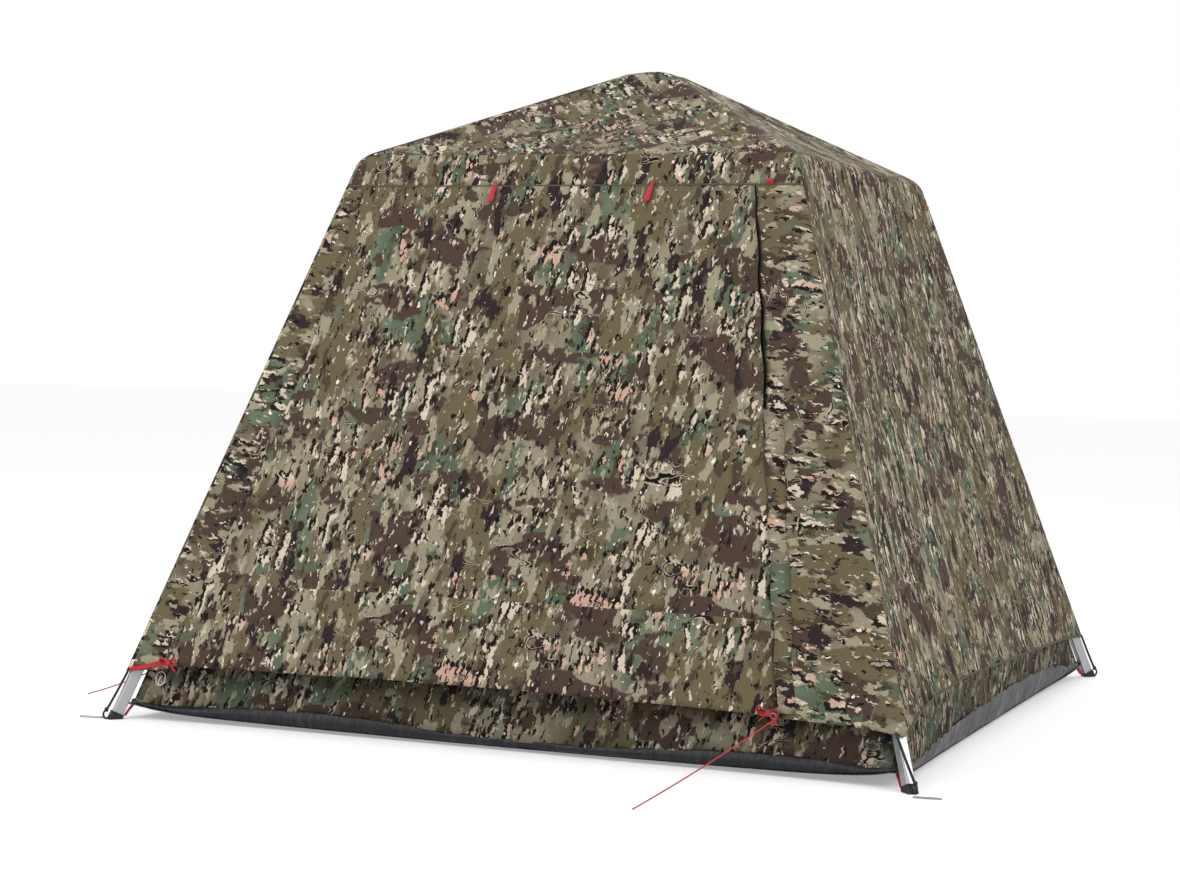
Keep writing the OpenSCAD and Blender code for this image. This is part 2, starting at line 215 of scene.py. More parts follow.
def rounded_box(size, centre, bevel, turn=None):
    """Points and faces of a box with bevelled edges, optionally turned by a 3x3 matrix."""
    half = np.array(size, float) / 2
    edge = 1 - bevel / half[2]
    points = []
    for z in (-1, -edge, edge, 1):
        inset = bevel if abs(z) == 1 else 0.0
        hx, hy = half[0] - inset, half[1] - inset
        cut = min(bevel, hx * 0.9, hy * 0.9)
        ring = [(-hx + cut, -hy), (hx - cut, -hy), (hx, -hy + cut), (hx, hy - cut),
                (hx - cut, hy), (-hx + cut, hy), (-hx, hy - cut), (-hx, -hy + cut)]
        points += [np.array([x, y, z * half[2]]) for x, y in ring]
    faces = [tuple(reversed(range(8))), tuple(range(24, 32))]
    faces += grid_faces(4, 8, wrap=True)
    if turn is not None:
        points = [turn @ p for p in points]
    return [p + np.array(centre) for p in points], faces


def dress(obj, finish, nodes=(), body="tent"):
    """Gives a piece its finish, its body and the CAD nodes it stands for."""
    obj.data.materials.append(MATERIAL[finish])
    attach(obj, body)
    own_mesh(obj)
    if nodes:
        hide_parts(*nodes)


def facing(side, points):
    """Points laid out on the front, turned to another side."""
    c, s = math.cos(side * math.pi / 2), math.sin(side * math.pi / 2)
    return [(x * c - y * s, x * s + y * c, z) for x, y, z in points]


def corner_arc(corner, radius, z):
    """Points round a front right corner, between the columns of two sides."""
    angles = [k / ARC_COLS * math.pi / 2 for k in range(1, ARC_COLS)]
    return [(corner + radius * math.sin(a), -corner - radius * math.cos(a), z) for a in angles]


def skin(name, rings, tip=None, skip=None):
    """A mesh through closed rings of points, drawn in to a tip beyond the last ring."""
    rows, cols = len(rings), len(rings[0])
    points = [p for ring in rings for p in ring]
    faces = grid_faces(rows, cols, wrap=True, skip=skip)
    if tip is not None:
        last = (rows - 1) * cols
        faces += [(last + c, last + (c + 1) % cols, len(points)) for c in range(cols)]
        points.append(tip)
    return new_mesh(name, points, faces)


# ---- Cloth relief ----------------------------------------------------------------


class Relief:
    """Seeded soft undulations and pressed creases over a flat cloth, in metres."""

    def __init__(self, seed, waves=14, creases=26, span=2.6):
        rng = np.random.default_rng(seed)
        angle = rng.uniform(0, math.pi, waves)
        pitch = rng.uniform(0.10, 0.55, waves)
        self.wave_u = np.cos(angle) / pitch
        self.wave_v = np.sin(angle) / pitch
        self.phase = rng.uniform(0, 2 * math.pi, waves)
        self.size = pitch / pitch.sum()
        self.crease_at = rng.uniform(-span / 2, span / 2, (creases, 2))
        self.crease_turn = rng.normal(math.pi / 2, 0.55, creases)
        self.crease_len = rng.uniform(0.10, 0.42, creases)
        self.crease_wide = rng.uniform(0.006, 0.016, creases)
        self.crease_high = rng.uniform(-1, 1, creases)

    def waves(self, u, v):
        total = np.zeros_like(u)
        for a, b, p, s in zip(self.wave_u, self.wave_v, self.phase, self.size):
            total += s * np.sin(2 * math.pi * (a * u + b * v) + p)
        return total

    def creases(self, u, v):
        total = np.zeros_like(u)
        rows = zip(self.crease_at, self.crease_turn, self.crease_len, self.crease_wide, self.crease_high)
        for (cu, cv), turn, length, wide, high in rows:
            along = (u - cu) * math.cos(turn) + (v - cv) * math.sin(turn)
            across = (v - cv) * math.cos(turn) - (u - cu) * math.sin(turn) + 0.05 * along ** 2
            total += high * np.exp(-(along / length) ** 2) / (1 + (across / wide) ** 2)
        return total

    def __call__(self, u, v, wave=0.006, crease=0.003):
        return wave * self.waves(u, v) + crease * self.creases(u, v)


def fan_folds(u, v, at, heading, spread, reach, count, height):
    """Tension folds that fan out from a point where the cloth is pulled."""
    du, dv = u - at[0], v - at[1]
    distance = np.hypot(du, dv) + 1e-6
    angle = np.arctan2(dv, du) - heading
    angle = (angle + math.pi) % (2 * math.pi) - math.pi
    inside = np.exp(-(angle / spread) ** 2)
    fade = np.minimum(distance / 0.06, 1) * np.exp(-distance / reach)
    return height * inside * fade * np.sin(count * angle)


# ---- Fly -------------------------------------------------------------------------

SIDE_COLS = 96
WALL_RADIUS = 0.014
RIDGE_RADIUS = 0.030
STRIP_COLS = 14
WALL_ROWS = 84
ROOF_ROWS = 44
EAVE_ROUND = 0.03
WALL_SAG = 0.020
ROOF_SAG = 0.022
SIDE_RELIEF = [Relief(seed) for seed in (3, 14, 25, 36)]
ROOF_RELIEF = Relief(47)
HEM_REACH = 0.25  # height above the hem over which its shift fades out
CORNER_DROP = 0.022  # how far the hem's corners are pulled down
FLAP_BOW = 0.055  # how far the flap's left edge bows in
ZIP_PUCKER = 0.003  # how far the zip gathers the flap's right edge to and fro
ZIP_LAP = 0.022  # how far the front strips run under the flap's left edge


def flap_edges(z):
    """x of the flap's left and right edges at a height. The left edge bows in towards the door."""
    t = (SEAM_Z - z) / (SEAM_Z - FLAP_HEM_Z)
    left = FLAP_LEFT[0] + (FLAP_LEFT[1] - FLAP_LEFT[0]) * t
    right = FLAP_RIGHT[0] + (FLAP_RIGHT[1] - FLAP_RIGHT[0]) * t
    bow = FLAP_BOW * np.sin(math.pi * np.clip(t, 0, 1)) ** 1.2
    pucker = ZIP_PUCKER * np.sin(z * 37) * np.clip(t * 8, 0, 1)
    return left + bow, right + pucker


def zip_gap(z):
    """Width of the dark gap beside the flap's right edge, uneven where the cloth puckers along the zip."""
    return 0.005 + 0.0025 * math.sin(z * 23) + 0.0020 * math.sin(z * 61 + 1)


def fly_profile():
    """Rows of (half width, height, corner radius, share of roof) from the hem to the top."""
    rows = [(fly_half(z), z, WALL_RADIUS, 0.0) for z in np.linspace(HEM_Z, SEAM_Z, WALL_ROWS)]
    rows += [(fly_half(z), z, WALL_RADIUS, 0.0) for z in np.linspace(SEAM_Z, EAVE_Z - EAVE_ROUND, 6)[1:]]
    start = np.array([fly_half(EAVE_Z - EAVE_ROUND), EAVE_Z - EAVE_ROUND])
    end = np.array([EAVE_HALF - EAVE_ROUND, EAVE_Z + EAVE_ROUND / ROOF_RUN])
    corner = np.array([EAVE_HALF, EAVE_Z])
    for t in np.linspace(0, 1, 10)[1:]:
        half, z = (1 - t) ** 2 * start + 2 * t * (1 - t) * corner + t ** 2 * end
        rows.append((half, z, WALL_RADIUS + (RIDGE_RADIUS - WALL_RADIUS) * t, t))
    low = end[0]
    for half in np.linspace(low, APEX_HALF * 1.6, ROOF_ROWS)[1:]:
        z = EAVE_Z + (EAVE_HALF - half) / ROOF_RUN
        rows.append((half, z, min(RIDGE_RADIUS, half), 1.0))
    base = rows[-1]
    for t in np.linspace(0, 1, 9)[1:]:
        half = base[0] * (1 - t) + 0.004 * t
        rise = (APEX_Z - 0.001 - base[1]) * math.sin(t * math.pi / 2)
        radius = min(half, RIDGE_RADIUS + (half - RIDGE_RADIUS) * t) if half > RIDGE_RADIUS else half
        rows.append((half, base[1] + rise, radius, 1.0))
    return rows


def front_places(half, radius, z):
    """Places of the front columns across the wall, so that two of them follow the door opening."""
    reach = half - radius
    left, right = flap_edges(max(min(z, SEAM_Z), HEM_Z))
    if z > SEAM_Z:
        left, right = left * half / fly_half(SEAM_Z), right * half / fly_half(SEAM_Z)
    left = max(left + ZIP_LAP, -reach * 0.98)
    right = min(right + zip_gap(z), reach * 0.98)
    middle = SIDE_COLS - 2 * STRIP_COLS
    return np.concatenate([
        np.linspace(-reach, left, STRIP_COLS + 1)[:-1],
        np.linspace(left, right, middle + 1)[:-1],
        np.linspace(right, reach, STRIP_COLS + 1),
    ])


def wall_relief(side, across, z, half, roof):
    """How far the fly stands off its flat wall or roof plane, outwards."""
    share = np.clip(across / half, -1, 1)
    hold = np.clip((1 - np.abs(share)) / 0.16, 0, 1)
    if roof > 0.5:
        run = (half - APEX_HALF) / (EAVE_HALF - APEX_HALF)
        sag = ROOF_SAG * (1 - share ** 2) * math.sin(math.pi * min(max(run, 0), 1)) ** 0.8
        folds = ROOF_RELIEF(across + side, np.full_like(across, half) - side, 0.005, 0.002)
        return hold * (folds - sag)
    height = (z - HEM_Z) / (EAVE_Z - HEM_Z)
    sag = WALL_SAG * (1 - share ** 2) * math.sin(math.pi * min(max(height, 0), 1)) ** 0.7
    v = np.full_like(across, z)
    folds = SIDE_RELIEF[side](across, v - 0.9, 0.007, 0.0032)
    pulls = np.zeros_like(across)
    for end in (-1, 1):
        foot = (end * fly_half(HEM_Z), HEM_Z)
        pulls += fan_folds(across, v, foot, math.pi / 2 + end * 0.75, 0.5, 0.35, 22, 0.004)
        top = (end * EAVE_HALF, EAVE_Z)
        pulls += fan_folds(across, v, top, -math.pi / 2 - end * 0.55, 0.4, 0.30, 20, 0.003)
    hem = 1 - np.clip((z - HEM_Z) / 0.10, 0, 1)
    flutter = 0.005 * hem * np.sin(across * 11 + side * 2.1)
    return hold * (folds - sag + flutter) + np.clip(hold + 0.35, 0, 1) * pulls


def hem_drop(side, across, z):
    """How far the cloth shifts near the hem: down at the corners and, but for the front, up between."""
    if z >= HEM_Z + HEM_REACH:
        return np.zeros_like(across)
    share = across / fly_half(z)
    fade = (1 - (z - HEM_Z) / HEM_REACH) ** 2
    if side == 0:
        return -CORNER_DROP * np.abs(share) ** 10 * fade
    arch = 0.050 * (1 - share ** 4) - 0.040 * share * (1 - share ** 2)
    return (arch - CORNER_DROP) * fade


def fly_rows():
    """Grid of fly points: rows from the hem to the top, columns round from the front left corner."""
    grid = []
    for half, z, radius, roof in fly_profile():
        row = []
        for side in range(4):
            places = np.linspace(-(half - radius), half - radius, SIDE_COLS + 1)
            if side == 0:
                places = front_places(half, radius, z)
            off = wall_relief(side, places, z, half, roof)
            lift = hem_drop(side, places, z)
            nz = math.sin(LEAN) if roof < 0.5 else math.cos(math.atan(1 / ROOF_RUN))
            ny = math.sqrt(1 - nz * nz)
            y = -(half - lift * WALL_RUN + off * ny)
            local = list(zip(places, y, z + off * nz + lift))
            corner = half - radius - lift[-1] * WALL_RUN
            row += facing(side, local + corner_arc(corner, radius, z + lift[-1]))
        grid.append(row)
    return grid


def in_doorway(row, col):
    return row < WALL_ROWS - 1 and STRIP_COLS <= col < SIDE_COLS - STRIP_COLS


def plane_uv(direction, lean, turn):
    """Two cloth directions on a plane facing direction, turned in the plane."""
    out = np.array([math.sin(direction), -math.cos(direction), 0.0])
    across = np.array([math.cos(direction), math.sin(direction), 0.0])
    up = np.array([0, 0, 1.0]) * math.cos(lean) - out * math.sin(lean)
    u = across * math.cos(turn) + up * math.sin(turn)
    v = up * math.cos(turn) - across * math.sin(turn)
    return u, v


def lay_print(obj, chooser):
    """Gives each face the print directions and offset that chooser(face) returns."""
    mesh = obj.data
    layer = mesh.uv_layers.new(name="cloth")
    co = np.array([v.co for v in mesh.vertices])
    values = np.zeros((len(mesh.loops), 2))
    for polygon in mesh.polygons:
        (u, v), shift = chooser(polygon)
        for loop in polygon.loop_indices:
            p = co[mesh.loops[loop].vertex_index]
            values[loop] = (p @ u + shift[0], p @ v + shift[1])
    layer.data.foreach_set("uv", values.ravel())


WALL_PRINTS = [plane_uv(side * math.pi / 2, LEAN, 0.0) for side in range(4)]
STRIP_PRINT = plane_uv(0.0, LEAN, math.pi / 2)
ROOF_LEAN = math.pi / 2 - math.atan(1 / ROOF_RUN)
ROOF_PRINTS = [plane_uv(side * math.pi / 2, ROOF_LEAN, 0.7) for side in range(4)]


def fly_canopy():
    """The whole outer fly: pyramid roof, valance, three walls and the two front strips, as one sheet."""
    grid = fly_rows()
    rows, cols = len(grid), len(grid[0])
    obj = skin("fly_canopy", grid, (0.0, 0.0, APEX_Z - 0.001), in_doorway)

    def choose(polygon):
        first = polygon.vertices[0]
        row, col = divmod(min(first, rows * cols - 1), cols)
        side = col // (SIDE_COLS + ARC_COLS)
        if polygon.center.z > EAVE_Z:
            return ROOF_PRINTS[side], (side * 1.7, 0.4)
        if side == 0 and row < WALL_ROWS - 1:
            return STRIP_PRINT, (0.3, 0.1)
        return WALL_PRINTS[side], (side * 1.3, side * 0.7)

    lay_print(obj, choose)
    thicken(obj)
    dress(obj, "camo", ["fly_roof", "fly_walls"])


# ---- Door flap ---------------------------------------------------------------------

FLAP_COLS = 110
FLAP_ROWS = 90
FLAP_PROUD = 0.004
FLAP_RELIEF = Relief(58, creases=34)
FLAP_SEAM = 0.17  # share of the flap's height at which its sewn cross seam lies


def front_point(x, z, proud):
    """A point on the front wall, at a height, standing proud of it."""
    return (x, -(fly_half(z) + proud * math.cos(LEAN)), z + proud * math.sin(LEAN))


def flap_off(x, z, s, t):
    """How far the flap stands off the front wall at a place: s across and t up, both 0 to 1."""
    edge = np.clip(np.minimum(s, 1 - s) / 0.10, 0, 1) * np.clip((1 - t) / 0.06, 0, 1)
    folds = FLAP_RELIEF(x, z - 0.9, 0.010, 0.004)
    left = fan_folds(x, z, (FLAP_LEFT[1], FLAP_HEM_Z), 0.9, 0.55, 0.55, 24, 0.006)
    right = fan_folds(x, z, (FLAP_RIGHT[1], FLAP_HEM_Z), math.pi - 1.1, 0.5, 0.45, 22, 0.006)
    slack = 0.012 * (1 - t) ** 3 * np.sin(math.pi * s) + 0.004 * (1 - t) ** 2 * np.sin(x * 13)
    seam = 0.0018 * np.exp(-((t - FLAP_SEAM) / 0.006) ** 2)
    return FLAP_PROUD + edge * (np.maximum(folds, -0.003)) + np.maximum(left + right, -0.002) + slack + seam


def door_flap():
    """The large door flap, laid over the front opening from its top seam to its hem."""
    points = []
    for t in np.linspace(0, 1, FLAP_ROWS):
        z = FLAP_HEM_Z + (SEAM_Z - 0.002 - FLAP_HEM_Z) * t
        left, right = flap_edges(z)
        s = np.linspace(0, 1, FLAP_COLS)
        x = left + (right - left) * s
        rise = (0.010 * np.sin(math.pi * s) - 0.004) * (1 - t) ** 6
        off = flap_off(x, np.full_like(x, z), s, t)
        points += [front_point(a, z + r, o) for a, r, o in zip(x, rise, off)]
    obj = new_mesh("door_flap_cloth", points, grid_faces(FLAP_ROWS, FLAP_COLS))
    seam_z = FLAP_HEM_Z + (SEAM_Z - FLAP_HEM_Z) * FLAP_SEAM

    def choose(polygon):
        return WALL_PRINTS[0], (0.0, 0.0) if polygon.center.z > seam_z else (0.37, 0.23)

    lay_print(obj, choose)
    thicken(obj, offset=1.0)
    dress(obj, "camo", ["door_flap"], "door_flap")


# ---- Strips that lie on the fly -----------------------------------------------------

BAND_COLS = 60
ZIP_ROWS = 70
TAPE_HALF = 0.016
PLACKET_REACH = 0.56  # share of the flap's height that the strip over the right zip covers


def on_wall(side, across, z, proud):
    """A point on a fly wall, with the cloth's own relief, standing proud of it."""
    place = np.array([across])
    off = float(wall_relief(side, place, z, fly_half(z), 0.0)[0]) + proud
    drop = float(hem_drop(side, place, z)[0])
    y = -(fly_half(z + drop) + off * math.cos(LEAN))
    return np.array(facing(side, [(across, y, z + off * math.sin(LEAN) + drop)])[0])


def ribbon(lines):
    """Points and faces of a sheet through several lines of points, all of one length."""
    rows, cols = len(lines), len(lines[0])
    return [p for line in lines for p in line], grid_faces(rows, cols)


def strip(name, low, high, length, thickness, offset):
    """A thin strip between two lines of points. Its uv is metres along it and 0 to 1 across it."""
    cols = len(low)
    obj = new_mesh(name, *ribbon([low, high]))
    layer = obj.data.uv_layers.new(name="cloth")
    values = np.zeros((len(obj.data.loops), 2))
    for index, loop in enumerate(obj.data.loops):
        row, col = divmod(loop.vertex_index, cols)
        values[index] = (length * col / (cols - 1), row)
    layer.data.foreach_set("uv", values.ravel())
    thicken(obj, thickness, offset)
    return obj


def seam_bands():
    """Stitched bands: the seam over the door flap, and the bound hem of each other wall."""
    rows = [("door_seam", 0, SEAM_Z, 0.005, 0.0015)]
    rows += [("hem_band_%d" % side, side, HEM_Z, 0.007, 0.0012) for side in (1, 2, 3)]
    for name, side, base, width, proud in rows:
        reach = fly_half(base) - WALL_RADIUS
        places = np.linspace(-reach, reach, BAND_COLS)
        foot = base + 0.0005
        low, high = ([on_wall(side, a, z, proud) for a in places] for z in (foot, foot + width))
        dress(strip(name, low, high, 2 * reach, 0.001, 1.0), "band")


def zip_place(left, z):
    """x of the middle of a zip at a height."""
    edges = flap_edges(z)
    return edges[0] + ZIP_LAP * 0.5 if left else edges[1] + zip_gap(z) * 0.5


def zip_lines():
    """Black zip tapes behind the gap on both sides of the flap, each with its coil."""
    for place, left in (("left", True), ("right", False)):
        heights = np.linspace(FLAP_HEM_Z + 0.015, SEAM_Z - 0.01, ZIP_ROWS)
        sides = [[on_wall(0, zip_place(left, z) + dx, z, -0.0035) for z in heights]
                 for dx in (-TAPE_HALF, TAPE_HALF)]
        tape = strip("zip_tape_" + place, *sides, SEAM_Z - FLAP_HEM_Z, 0.0008, 0.0)
        dress(tape, "zip_tape", ["zip_tapes"])
        path = [on_wall(0, zip_place(left, z), z, -0.0022) for z in heights]
        coil = join_parts("zip_coil_" + place, [sweep(path, flat_outline(0.0052, 0.0022))])
        dress(coil, "zip_coil")


def placket():
    """The narrow cloth strip that shields the lower half of the right zip."""
    top = FLAP_HEM_Z + (SEAM_Z - FLAP_HEM_Z) * PLACKET_REACH
    heights = np.linspace(FLAP_HEM_Z + 0.005, top, 50)
    inner, outer = [], []
    for z in heights:
        x = flap_edges(z)[1]
        inner.append(front_point(x - 0.002, z, 0.009 + 0.002 * math.sin(z * 31)))
        outer.append(on_wall(0, x + 0.046 + 0.003 * math.sin(z * 17), z, 0.0022))
    middle = list((np.array(inner) + np.array(outer)) / 2 + (0, -0.0035, 0))
    obj = new_mesh("zip_placket", *ribbon([inner, middle, outer]))
    lay_print(obj, lambda polygon: (STRIP_PRINT, (0.9, 0.5)))
    thicken(obj, 0.001, 1.0)
    dress(obj, "camo")


SLIDER_BLOCKS = (  # size, place and edge radius of a slider's body, bridge and pull
    ((0.011, 0.016, 0.006), (0, 0, 0.010), 0.0015),
    ((0.004, 0.012, 0.003), (0, -0.003, 0.004), 0.0010),
    ((0.007, 0.024, 0.0022), (0, -0.003, -0.010), 0.0010),
)


def zip_sliders():
    turn = wall_turn()
    for side in ("left", "right"):
        low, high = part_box("zip_slider_" + side)
        centre = (low + high) / 2
        blocks = [rounded_box(size, centre + Vector(at), bevel, turn) for size, at, bevel in SLIDER_BLOCKS]
        obj = join_parts("zip_pull_" + side, blocks)
        dress(obj, "plastic", ["zip_slider_" + side], "slider_" + side)


def wall_turn():
    """Turns x, y, z into across, up the front wall and out of it."""
    sin, cos = math.sin(LEAN), math.cos(LEAN)
    return np.column_stack([(1, 0, 0), (0, sin, cos), (0, -cos, sin)])


# ---- Webbing, toggles and cords --------------------------------------------------------

TOGGLE_SHAPE = (0.35, 0.70, 0.85, 0.90, 0.94, 0.98, 1.02, 1.06, 1.10, 1.08, 0.95, 0.6)  # widths, downwards
TAB_LOOP = ((0, 0), (0.011, 0.1), (0.016, 0.45), (0.012, 0.9), (0, 1))  # rise off the wall, share of height
TAB_INSET = 0.090  # from the corner of the fly to a tab
STRAP_ENDS = ((1.611, 0.073), (1.668, 0.008))  # distance from the middle of the tent, and height
CORD_TOP = (1.650, 0.148)  # the same for the elastic cord's upper end
HOOK = (1.722, 0.014)  # and for the middle of its hook


def toggles():
    """Soft red toggles that hang from the flap's top seam on a stitched loop."""
    for side in ("left", "right"):
        low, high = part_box("toggle_" + side)
        x = (low.x + high.x) / 2
        lean = -0.10 if side == "left" else -0.16
        top = np.array(front_point(x, high.z - 0.006, 0.010))
        bottom = np.array(front_point(x + lean * (high.z - low.z), low.z + 0.005, 0.012))
        path = curve_points(top, bottom, 0.0, len(TOGGLE_SHAPE))
        outline = [(a, b * 0.55) for a, b in round_outline(0.0098, 12)]
        points, faces = sweep(path, outline)
        for k, p in enumerate(points):
            middle = path[k // 12]
            points[k] = middle + (p - middle) * TOGGLE_SHAPE[k // 12]
        loop = curve_points(front_point(x, high.z + 0.012, 0.002), top + (bottom - top) * 0.12, 0.004, 6)
        obj = join_parts("toggle_pull_" + side, [(points, faces), sweep(loop, flat_outline(0.007, 0.002))])
        dress(obj, "webbing", ["toggle_" + side], "toggle_" + side)


def corner_tabs():
    """A folded loop of red webbing near the top corner of each face."""
    parts = []
    for side in range(4):
        across = fly_half(SEAM_Z) - TAB_INSET
        base = on_wall(side, across, SEAM_Z + 0.001, 0.0035)
        tip = on_wall(side, across, SEAM_Z + 0.015, 0.0035)
        ends = [on_wall(side, across + dx, SEAM_Z + 0.010, 0.0035) for dx in (-0.009, 0.009)]
        along = ends[1] - ends[0]
        out = np.cross(along, tip - base)
        out /= np.linalg.norm(out)
        path = [base + out * rise + (tip - base) * t for rise, t in TAB_LOOP]
        top, faces = ribbon([[p - along / 2 for p in path], [p + along / 2 for p in path]])
        under = [p - out * 0.0015 for p in top]
        n, cols = len(top), len(path)
        edge = list(range(cols)) + list(range(n - 1, cols - 1, -1))
        rim = [(a, b, n + b, n + a) for a, b in zip(edge, edge[1:] + edge[:1])]
        faces += [tuple(i + n for i in reversed(face)) for face in faces] + rim
        parts.append((top + under, faces))
    obj = join_parts("guy_tabs", parts, smooth=False)
    dress(obj, "webbing", ["corner_tabs"])


def corner_point(turn, r, tangential, z):
    """A point at a distance r from the tent's middle towards a corner, shifted sideways."""
    c, s = math.cos(math.radians(turn)), math.sin(math.radians(turn))
    return np.array([r * c - tangential * s, r * s + tangential * c, z])


def foot_straps():
    """Red webbing that pulls each floor corner down to its foot."""
    parts = []
    for turn in TURNS:
        start, end = (corner_point(turn, r, 0, z) for r, z in STRAP_ENDS)
        parts.append(sweep(curve_points(start, end, 0.004, 8, (0, 0, 1)), flat_outline(0.026, 0.0018)))
    obj = join_parts("foot_webbing", parts, smooth=False)
    dress(obj, "webbing", ["foot_straps"])


def bungees():
    """Elastic cord from the fly's corner, beside the leg and down to a hook on the foot's outer side."""
    cords, hooks = [], []
    out, low = HOOK
    bend = np.linspace(math.pi / 2, -math.pi * 0.95, 12)
    for turn in TURNS:
        top = corner_point(turn, CORD_TOP[0], -0.019, CORD_TOP[1])
        bottom = corner_point(turn, out, 0, low + 0.012)
        cords.append(sweep(curve_points(top, bottom, 0.002, 10), round_outline(0.0038)))
        hook = [corner_point(turn, out + 0.009 * math.cos(a), 0, low + 0.012 * math.sin(a)) for a in bend]
        hooks.append(sweep(hook, round_outline(0.0032)))
        hooks.append(rounded_box((0.011, 0.011, 0.014), corner_point(turn, out, 0, low + 0.014), 0.003))
    cord = join_parts("bungee_cord", cords)
    dress(cord, "black_cord", ["bungee_cords"])
    hook = join_parts("bungee_hooks", hooks)
    dress(hook, "plastic")


def knot(centre, size, seed):
    """A small webbing bow: a wrapped middle, two loops and two tails."""
    rng = np.random.default_rng(seed)
    c = np.array(centre)
    parts = []
    for k, heading in enumerate((0.25, math.pi - 0.3)):
        a = heading + rng.uniform(-0.1, 0.1)
        reach = size * (0.9 + 0.2 * k)
        way = np.array([math.cos(a), -0.12, math.sin(a)])
        rise = np.array([0, -0.004, 0.35 * size])
        loop = [c + way * reach * math.sin(t) + rise * math.sin(2 * t) for t in np.linspace(0, math.pi, 12)]
        parts.append(sweep(loop, flat_outline(size * 0.42, 0.0016)))
    drop = np.array([0, 0, -0.15 * size])
    for a in (-0.75, math.pi + 0.55):
        way = np.array([math.cos(a), -0.15, math.sin(a)]) * size * 1.1
        tail = [c + way * t + drop * t * t for t in np.linspace(0, 1, 6)]
        parts.append(sweep(tail, flat_outline(size * 0.36, 0.0016)))
    middle = (size * 0.55, size * 0.34, size * 0.5)
    parts.append(rounded_box(middle, c + (0, -0.003, 0), size * 0.12))
    return parts


def hem_ties():
    """Red webbing tied on the flap's lower corners, and the strap from the left one to the fly's corner."""
    z = FLAP_HEM_Z + 0.004
    left, right = flap_edges(z)
    parts = knot(front_point(left + 0.028, z, 0.014), 0.026, 1)
    parts += knot(front_point(right - 0.022, z - 0.004, 0.014), 0.030, 2)
    obj = join_parts("hem_knots", parts, smooth=False)
    dress(obj, "webbing", ["hem_ties"], "door_flap")
    start = front_point(left + 0.010, z + 0.004, 0.010)
    end = on_wall(0, -(fly_half(HEM_Z) - 0.016), HEM_Z + 0.004, 0.006)
    path = curve_points(start, end, 0.002, 8)
    strap = join_parts("hem_strap", [sweep(path, flat_outline(0.003, 0.012))], smooth=False)
    dress(strap, "webbing")


def guy_lines():
    """Thin red cords from the flap's lower corners to the ground, doubled where they are tied on."""
    for side in ("left", "right"):
        start = np.array(joint("guy_swing_" + side)["pos_m"])
        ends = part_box("guy_line_" + side)
        far_x, far_y = (max((end[k] for end in ends), key=lambda at: abs(at - start[k])) for k in (0, 1))
        end = np.array([far_x, far_y, 0.004])
        tied = start + (end - start) * 0.07
        parts = [sweep(curve_points(start, end, 0.006, 24), round_outline(0.0019))]
        parts.append(sweep(curve_points(start, tied, 0.006, 10), round_outline(0.0024)))
        obj = join_parts("guy_cord_" + side, parts)
        dress(obj, "red_cord", ["guy_line_" + side], "guy_" + side)


def metal_ring():
    """A small steel ring in the knot on the flap's right corner."""
    z = FLAP_HEM_Z - 0.006
    c = np.array(front_point(flap_edges(z)[1] - 0.008, z, 0.020))
    angles = np.linspace(0, 2 * math.pi, 20, endpoint=False)
    path = [c + 0.008 * np.array([math.cos(a), -0.5 * math.sin(a), math.sin(a)]) for a in angles]
    obj = join_parts("knot_ring", [sweep(path, round_outline(0.0014), closed_path=True)])
    dress(obj, "steel", body="door_flap")


def cord_ring():
    """A white cord ring, tied with a short tail, hanging on the inner tent by the left corner."""
    low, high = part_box("cord_ring")
    c = np.array((low + high) / 2)
    half_w, half_h = (high.x - low.x) / 2 - 0.0016, (high.z - low.z) / 2 - 0.0016
    path = []
    for a in np.linspace(0, 2 * math.pi, 32, endpoint=False):
        z = c[2] + half_h * math.sin(a)
        x = c[0] + half_w * math.cos(a)
        pull = float(corner_pull(x / inner_half(z), z))
        path.append(np.array([x, -(inner_half(z) + pull + 0.010), z]))
    knot_at = path[24]
    steps = ((0, 0, 0), (-0.003, -0.002, 0.010), (0.004, -0.002, 0.024), (0.010, -0.002, 0.030))
    tail = sweep([knot_at + np.array(step) for step in steps], round_outline(0.0016))
    obj = join_parts("cord_loop", [sweep(path, round_outline(0.0018), closed_path=True), tail])
    dress(obj, "white_cord", ["cord_ring"])


def pegs():
    """Steel wire pegs with a long eye, lying flat by the front feet."""
    low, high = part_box("pegs")
    parts = []
    for x, y, turn in ((low.x + 0.042, low.y + 0.060, 12), (high.x - 0.042, low.y + 0.016, 9)):
        a = math.radians(turn)
        loop = []
        for t in np.linspace(0, 2 * math.pi, 28, endpoint=False):
            px = 0.036 * math.copysign(abs(math.cos(t)) ** 0.45, math.cos(t))
            py = 0.005 * math.copysign(abs(math.sin(t)) ** 0.8, math.sin(t))
            turned = (x + px * math.cos(a) - py * math.sin(a), y + px * math.sin(a) + py * math.cos(a))
            loop.append(np.array([*turned, 0.0022]))
        parts.append(sweep(loop, round_outline(0.0020), closed_path=True))
    obj = join_parts("wire_pegs", parts)
    obj.data.materials.append(MATERIAL["steel"])
    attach(obj, "tent")
    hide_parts("pegs")


# ---- Inner tent and floor -----------------------------------------------------------------

